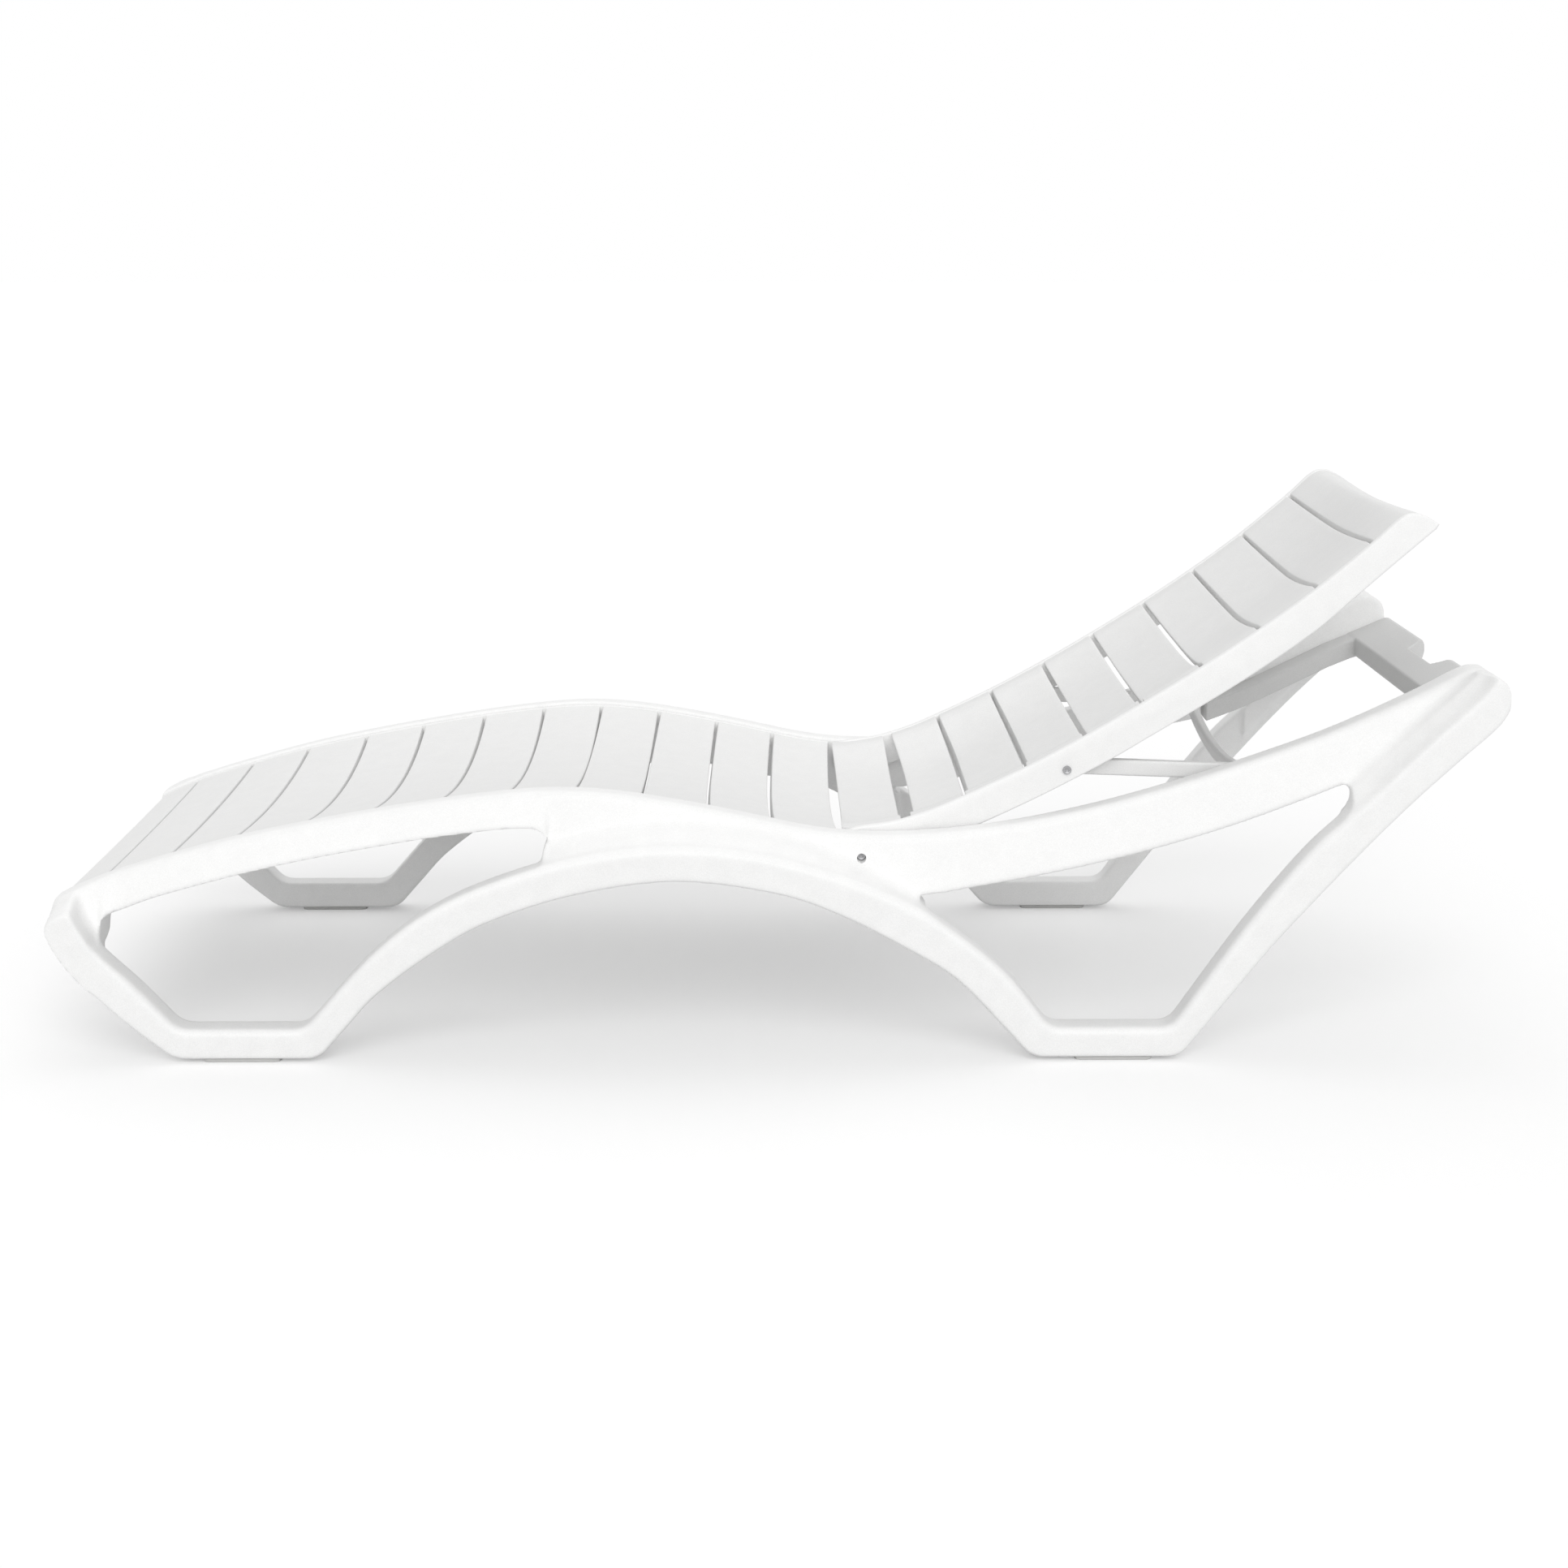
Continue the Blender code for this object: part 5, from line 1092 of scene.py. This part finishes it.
class LOUNGER_OT_deck(bpy.types.Operator):
    """Build the deck: twelve dished slats and the two curbs that carry them"""

    bl_idname = "lounger.deck"
    bl_label = "Deck"

    def execute(self, context):
        shape = context.scene.lounger_shape
        finish = finishes()["deck_white"]
        line = deck_line()
        cuts = [share * LENGTH for share in DECK_SLOTS]
        fronts = [line[0][0] + DECK_LEAD] + [x + shape.slot / 2 for x in cuts]
        rears = [x - shape.slot / 2 for x in cuts] + [line[-1][0]]
        rows = []
        for front, rear in zip(fronts, rears):
            drops = [DECK_DISH * float(read(DECK_DISHES, x / LENGTH)) for x in (front, rear)]
            skirts = (shape.flange / 2 if front == fronts[0] else shape.flange,
                      shape.slat_skin + FOLD if rear == rears[-1] else shape.flange)
            rows.append(slat_row(line, front, rear, drops, DECK_POWERS, skirts))
        mesh = slats_mesh("deck_slats", rows, DECK_HALF - CURB / 2, DECK_HALF, finish, shape)
        settled("deck_slats", mesh, None, "frame", ("bed_deck",), sharp=40)
        inner = DECK_HALF - CURB
        section = [(inner, -CURB_DEEP), (inner, -CURB_ROUND)]
        section += [(inner + a, -b) for a, b in quarter(CURB_ROUND, ROUND_TURNS[1:])]
        section += [(DECK_HALF - b, -a) for a, b in quarter(CURB_ROUND, ROUND_TURNS)]
        section += [(DECK_HALF, -CURB_DEEP)]
        curbs = mixed("deck_curbs", [swept("curb", line, section, side) for side in (-1, 1)])
        settled("deck_curbs", curbs, finish, "frame", ("bed_deck",), sharp=40)
        return {"FINISHED"}


def plate(name, outline, near, far, rounding, side):
    """A closed outline of (x, z) points made a plate between two |Y| values, with rounded edges."""
    line = np.array(outline)
    ahead, behind = np.roll(line, -1, axis=0), np.roll(line, 1, axis=0)
    area = float(np.sum(line[:, 0] * ahead[:, 1] - ahead[:, 0] * line[:, 1]))
    lead = ahead - behind
    lead /= np.linalg.norm(lead, axis=1)[:, None]
    inward = np.column_stack([-lead[:, 1], lead[:, 0]]) * (1 if area > 0 else -1)
    low = [(near + rise, inset) for inset, rise in quarter(rounding, ROUND_TURNS[::-1])]
    high = [(far - rise, inset) for inset, rise in quarter(rounding, ROUND_TURNS)]
    points = []
    for y, inset in low + high:
        points += [(x, side * y, z) for x, z in line + inward * inset]
    return capped(name, points, len(line))


def back_placed(shares):
    """Shares of the backrest's reach as (x, z) places."""
    return [(x * BACK + HINGE[0], z * BACK + HINGE[1]) for x, z in shares]


def top_slat_mesh(line, front, shape):
    """The last slat of the backrest, whose tail rolls over into the head edge."""
    tail = back_placed(CHEEK_TOP[-TOP_SLAT_POINTS:])
    path = spline([(front, float(read(line, front)))] + tail, BACK_PARTS)
    lead, up = directions(path)
    skin = shape.slat_skin
    turns = np.linspace(0, math.pi / 2, EDGE_PARTS + 1)
    last = len(path) - 1
    rows = [(0, -shape.lip, shape.flange)]
    rows += [(0, inset, down) for inset, down in quarter(shape.slat_round, turns)]
    rows += [(i, 0.0, 0.0) for i in range(2, last)]
    rows += [(last, -inset, down) for inset, down in quarter(shape.slat_round, turns[::-1])]
    rows += [(last, 0.0, HEAD_DEEP), (last, -skin, HEAD_DEEP)]
    rows += [(i, 0.0, skin) for i in range(last - 2, 2, -1)]
    rows += [(0, skin + FOLD, skin), (0, skin, skin + FOLD), (0, skin - shape.lip, shape.flange)]
    points = []
    for s in np.linspace(-1, 1, SLAT_STATIONS):
        for i, forward, down in rows:
            share = (path[i][0] - HINGE[0]) / BACK
            drop = BACK_DISH * float(read(BACK_DISHES, share))
            power = float(read(BACK_POWERS, share))
            dish = drop * max(0.0, 1 - (abs(s) * BACK_HALF / DISH_HALF) ** power)
            place = path[i] + lead[i] * forward - up[i] * (down + dish + shape.slat_sink)
            points.append((place[0], s * BACK_HALF, place[1]))
    return capped("top slat", points, len(rows))


class LOUNGER_OT_backrest(bpy.types.Operator):
    """Build the backrest: two cheeks, nine dished slats and the rolled top slat"""

    bl_idname = "lounger.backrest"
    bl_label = "Backrest"

    def execute(self, context):
        shape = context.scene.lounger_shape
        finish = finishes()["backrest_white"]
        line = spline(back_placed((BACK_START, *CHEEK_TOP[2:])), BACK_PARTS)
        cuts = [share * BACK + HINGE[0] for share in BACK_SLOTS]
        halves = [FIRST_SLOT / 2] + [shape.slot * share / 2 for share in BACK_SLOT_SHARES]
        fronts = [DECK_END + shape.slot - BACK_LEAD] + [x + h for x, h in zip(cuts, halves)]
        rears = [x - h for x, h in zip(cuts, halves)]
        rows = []
        closed = [0] + [shape.lip * share for share in BACK_LIPS]
        for number, (front, rear) in enumerate(zip(fronts, rears)):
            shares = [(x - HINGE[0]) / BACK for x in (front, rear)]
            drops = [BACK_DISH * float(read(BACK_DISHES, s)) for s in shares]
            powers = [float(read(BACK_POWERS, s)) for s in shares]
            skirts = (shape.flange, shape.slat_skin + FOLD if closed[number + 1] else shape.flange)
            rows.append(slat_row(line, front, rear, drops, powers, skirts, closed[number]))
        mesh = slats_mesh("back_slats", rows, BACK_HALF, DISH_HALF, finish, shape)
        settled("back_slats", mesh, None, "backrest", ("backrest_panel",), sharp=40)
        top = top_slat_mesh(line, fronts[-1], shape)
        settled("top_slat", top, finish, "backrest", ("backrest_panel",), sharp=40)
        sides = [spline(back_placed(points), CURVE_PARTS) for points in (CHEEK_TOP, CHEEK_FOOT)]
        cheeks = mixed("cheeks", [
            plate("cheek", np.vstack(sides), CHEEK_OUT - CHEEK_WIDE, CHEEK_OUT, CHEEK_ROUND, side)
            for side in (-1, 1)])
        # The cheeks of the same panel take the frame's brighter white while the slats keep the greyer
        # backrest colour: lit and shaded copies of one resin, the grey being painted shade.
        settled("back_cheeks", cheeks, finishes()["frame_white"], "backrest",
                ("backrest_panel",), sharp=40)
        return {"FINISHED"}


def softened(node, voxel, rounds, name, finish, slot, body, reshape=None):
    """A solid's skin remade in small faces and eased, so its edges come out moulded."""
    copy = added("blank", turned_out(frame["nodes"][node].data.copy()))
    remesh = copy.modifiers.new("Skin", "REMESH")
    remesh.mode = "VOXEL"
    remesh.voxel_size = voxel
    ease = copy.modifiers.new("Ease", "SMOOTH")
    ease.iterations = rounds
    ease.factor = SKIN_EASE
    mesh = evaluated(copy)
    if reshape is not None:
        points = np.empty(len(mesh.vertices) * 3)
        mesh.vertices.foreach_get("co", points)
        mesh.vertices.foreach_set("co", reshape(points.reshape(-1, 3)).ravel())
        mesh.update()
    return settled(name, mesh, finish, body, (node,))


def shallow_middle(points):
    """The front member drawn up between its ends, where it only stiffens the deck, and made narrower."""
    top = points[:, 2].max()
    ends = smooth(np.clip((np.abs(points[:, 1]) - MEMBER_ENDS) / MEMBER_ENDS_RUN, 0, 1))
    points[:, 2] = top - (top - points[:, 2]) * (MEMBER_MIDDLE + (1 - MEMBER_MIDDLE) * ends)
    front = points[:, 0].min()
    points[:, 0] = front + (points[:, 0] - front) * MEMBER_NARROW
    return points


class LOUNGER_OT_cradle(bpy.types.Operator):
    """Build the rear cradle, the front cross member and the notched racks"""

    bl_idname = "lounger.cradle"
    bl_label = "Cradle and Front Member"

    def execute(self, context):
        finish = finishes()["frame_white"]
        made = context.scene.lounger_plastic
        # The cradle's darker resin is painted shade for the shadow under the backrest.
        painted_shade_finish = resin("cradle resin", made.cradle, made.roughness + DULLER, made.grain, made.grain_depth)
        softened("rear_cradle", *SKINS["rear_cradle"], "cradle_moulding", painted_shade_finish, "frame_white", "frame")
        softened("front_cross_member", *SKINS["front_cross_member"], "front_moulding", finish,
                 "frame_white", "frame", shallow_middle)
        for label in ("left", "right"):
            softened("prop_rack_" + label, *SKINS["prop_rack"], "rack_moulding_" + label, finish,
                     "frame_white", "frame")
        return {"FINISHED"}


class LOUNGER_OT_prop(bpy.types.Operator):
    """Build the prop bail that holds the backrest up"""

    bl_idname = "lounger.prop"
    bl_label = "Prop Bail"

    def execute(self, context):
        finish = finishes()["prop_white"]
        softened("prop_bail", *SKINS["prop_bail"], "prop_moulding", finish, "prop_white", "prop")
        return {"FINISHED"}


def socket_bolt(length):
    """A socket-head bolt along +Z: a knurled head with a hex socket, and its shank inward."""
    sixth = math.pi / 3
    turns = [math.tau * k / ROUND_STEPS for k in range(ROUND_STEPS)]
    knurled = [BOLT_HEAD - (BOLT_KNURL if k % 2 else 0.0) for k in range(ROUND_STEPS)]
    hexed = [BOLT_KEY / math.cos((t % sixth) - sixth / 2) * math.cos(sixth / 2) for t in turns]
    profile = [
        (0.0, -length), (BOLT_SHANK - BOLT_TIP, -length), (BOLT_SHANK, -length + BOLT_TIP_RUN),
        (BOLT_SHANK, 0.0), (knurled, 0.0), (knurled, BOLT_RIM), (BOLT_HEAD - BOLT_CHAMFER, BOLT_TALL),
        (BOLT_KEY + BOLT_CHAMFER, BOLT_TALL), *[(hexed, height) for height in BOLT_SOCKET],
        (0.0, BOLT_SOCKET_FLOOR)]
    return lathe("bolt", profile, ROUND_STEPS)


def pan_screw(length):
    """A pan-head screw along +Z with a domed, dimpled head and a pointed, threaded shank."""
    steps = SCREW_TURNS * 2
    profile = [(0.0, length)]
    for k in range(steps):
        height = length - SCREW_TIP - (length - SCREW_PLAIN) * k / steps
        profile.append((SCREW_RADIUS * SCREW_THREAD_SHARES[k % 2], height))
    profile.append((SCREW_RADIUS, 0.0))
    profile += [(SCREW_HEAD * across, -SCREW_TALL * down) for across, down in SCREW_HEAD_SHARES]
    return lathe("screw", profile, SCREW_STEPS)


def fastener_tree():
    """Sets one fastener on each guide point, turned to the guide's side."""
    tree = Tree("fasteners", (("Fastener", "NodeSocketObject"), ("Scale", "NodeSocketFloat"),
                              ("Finish", "NodeSocketMaterial")))
    quarter_turn = tree.product(tree.stored("side"), -math.pi / 2)
    turn = tree.add("ShaderNodeCombineXYZ", {0: quarter_turn}).outputs[0]
    tree.finish(tree.set_out("Fastener", Rotation=turn, Scale=tree.asked("Scale")))
    return tree


def fasteners(name, unit_mesh, places, nodes, body):
    """One mesh of like fasteners, each stood on its point and side."""
    unit = added("fastener", unit_mesh)
    guide = mesh_of(name, places, [])
    store(guide, "side", "FLOAT", [1.0 if y > 0 else -1.0 for _, y, _ in places])
    mesh = fastener_tree().run(added(name, guide), {
        "Fastener": unit, "Scale": 1.0, "Finish": finishes()["bolt_steel"]})
    bpy.data.objects.remove(unit)
    if "side" in mesh.attributes:
        mesh.attributes.remove(mesh.attributes["side"])
    return settled(name, turned_out(mesh), None, body, nodes, sharp=35)


class LOUNGER_OT_fasteners(bpy.types.Operator):
    """Set the bolts and screws, with like ones instanced on their seats"""

    bl_idname = "lounger.fasteners"
    bl_label = "Bolts and Screws"

    def execute(self, context):
        for kind, body in (("hinge", "frame"), ("prop", "backrest")):
            (x, z), seat = BOLT_SEATS[kind]
            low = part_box(kind + "_bolt_right")[0]
            names = [kind + "_bolt_left", kind + "_bolt_right"]
            places = [(x, side * seat, z) for side in (-1, 1)]
            fasteners(kind + "_bolts", socket_bolt(seat - low[1]), places, names, body)
        groups = {}
        for name in sorted(frame["nodes"]):
            if "_screw_" in name:
                low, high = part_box(name)
                groups.setdefault(round(high[1] - low[1], 3), []).append(name)
        for number, (long, names) in enumerate(sorted(groups.items()), 1):
            places = []
            for name in names:
                low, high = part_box(name)
                side = 1 if low[1] > 0 else -1
                near = min(abs(low[1]), abs(high[1]))
                places.append(((low[0] + high[0]) / 2, side * (near + SCREW_TALL), (low[2] + high[2]) / 2))
            fasteners("screws_%d" % number, pan_screw(long - SCREW_TALL), places, names, "frame")
        return {"FINISHED"}


class LOUNGER_OT_small_parts(bpy.types.Operator):
    """Finish the pads, bushes, nuts, spacers and the cross tube"""

    bl_idname = "lounger.small_parts"
    bl_label = "Pads, Bushes and Tube"

    def execute(self, context):
        made = finishes()
        slots = {row["node"]: row["material_slot"] for row in frame["record"]["subparts"]}
        for name, node in frame["nodes"].items():
            if node.hide_render:
                continue
            node.data.materials.clear()
            node.data.materials.append(made[slots[name]])
            if name.startswith(("foot_pad", "hinge_nut", "prop_nut")):
                edge = node.modifiers.new("Edge", "BEVEL")
                edge.width = EDGE_BEVEL
                edge.segments = 2
                edge.limit_method = "ANGLE"
                edge.angle_limit = math.radians(EDGE_ANGLE)
        return {"FINISHED"}


class LOUNGER_OT_stage(bpy.types.Operator):
    """Set up the floor, the soft light, the white background and the camera"""

    bl_idname = "lounger.stage"
    bl_label = "Studio"

    def execute(self, context):
        scene = context.scene
        studio = scene.lounger_studio
        half = studio.floor_size / 2
        corners = [(-half, -half, 0), (half, -half, 0), (half, half, 0), (-half, half, 0)]
        floor = added("studio_floor", mesh_of("floor", corners, [(0, 1, 2, 3)]))
        floor.data.materials.append(floor_finish(studio.shade_mix))
        scene.world = bpy.data.worlds.new("studio")
        scene.world.use_nodes = True
        tree = scene.world.node_tree
        add = partial(add_node, tree)
        strength = ranged(add, seen_directly(add), 0.0, 1.0, studio.ambient, 1.0)
        plug(tree, tree.nodes["Background"], {"Color": WHITE, "Strength": strength})
        for name, (tilt, turn) in LAMPS.items():
            lamp = bpy.data.lights.new(name, "SUN")
            lamp.angle = math.radians(LAMP_SPREAD)
            lamp.energy = getattr(studio, name)
            added(name, lamp).rotation_euler = (math.radians(tilt), 0.0, math.radians(turn))
        lens = bpy.data.cameras.new("camera")
        lens.lens = CAMERA_LENS
        lens.sensor_width = CAMERA_SENSOR
        lens.clip_end = CAMERA_REACH
        camera = added("camera", lens)
        camera.location = CAMERA_AT
        camera.rotation_euler = (math.radians(90 - CAMERA_PITCH), 0.0, math.radians(-CAMERA_YAW))
        scene.camera = camera
        scene.view_settings.view_transform = "Standard"
        return {"FINISHED"}


def floor_finish(share):
    """A pale floor that shows white to the camera and keeps the lounger's shadow."""
    finish, tree, shader, add = shader_nodes("studio floor")
    tree.nodes.remove(shader)
    shade = add("ShaderNodeBsdfDiffuse", {"Color": (share, share, share, 1.0)})
    glow = add("ShaderNodeEmission", {"Color": WHITE, "Strength": FLOOR_LIGHT - share})
    lifted = add("ShaderNodeAddShader", {0: shade.outputs[0], 1: glow.outputs[0]})
    plain = add("ShaderNodeBsdfDiffuse", {"Color": (FLOOR_PLAIN, FLOOR_PLAIN, FLOOR_PLAIN, 1.0)})
    mix = add("ShaderNodeMixShader", {0: seen_directly(add), 1: plain.outputs[0], 2: lifted.outputs[0]})
    plug(tree, tree.nodes["Material Output"], {"Surface": mix.outputs[0]})
    return finish


STEPS = (
    LOUNGER_OT_side_frames, LOUNGER_OT_deck, LOUNGER_OT_backrest, LOUNGER_OT_cradle, LOUNGER_OT_prop,
    LOUNGER_OT_fasteners, LOUNGER_OT_small_parts, LOUNGER_OT_stage,
)


class LOUNGER_PT_panel(bpy.types.Panel):
    """Sidebar panel that lists the lounger's sizes, finishes and building steps"""

    bl_idname = "LOUNGER_PT_panel"
    bl_label = "Sun Lounger"
    bl_space_type = "VIEW_3D"
    bl_region_type = "UI"
    bl_category = "Lounger"

    def draw(self, context):
        for name in GROUPS:
            group = getattr(context.scene, name)
            box = self.layout.box()
            for key in group.bl_rna.properties.keys():
                if key not in ("rna_type", "name"):
                    box.prop(group, key)
        for step in STEPS:
            self.layout.operator(step.bl_idname)


GROUPS = {"lounger_shape": LoungerShape, "lounger_plastic": LoungerPlastic, "lounger_studio": LoungerStudio}
CLASSES = (*GROUPS.values(), *STEPS, LOUNGER_PT_panel)


def register():
    """Registers the classes and the scene's settings."""
    for made in CLASSES:
        bpy.utils.register_class(made)
    for name, group in GROUPS.items():
        setattr(bpy.types.Scene, name, bpy.props.PointerProperty(type=group))


def unregister():
    """Removes the settings and the classes again."""
    for name in GROUPS:
        delattr(bpy.types.Scene, name)
    for made in reversed(CLASSES):
        bpy.utils.unregister_class(made)


def main():
    """Builds the lounger step by step."""
    register()
    for name in [thing.name for thing in bpy.data.objects if thing.type in ("LIGHT", "CAMERA")]:
        bpy.data.objects.remove(bpy.data.objects[name])
    for step in STEPS:
        family, title = step.bl_idname.split(".")
        getattr(getattr(bpy.ops, family), title)()


if __name__ == "__main__":
    main()
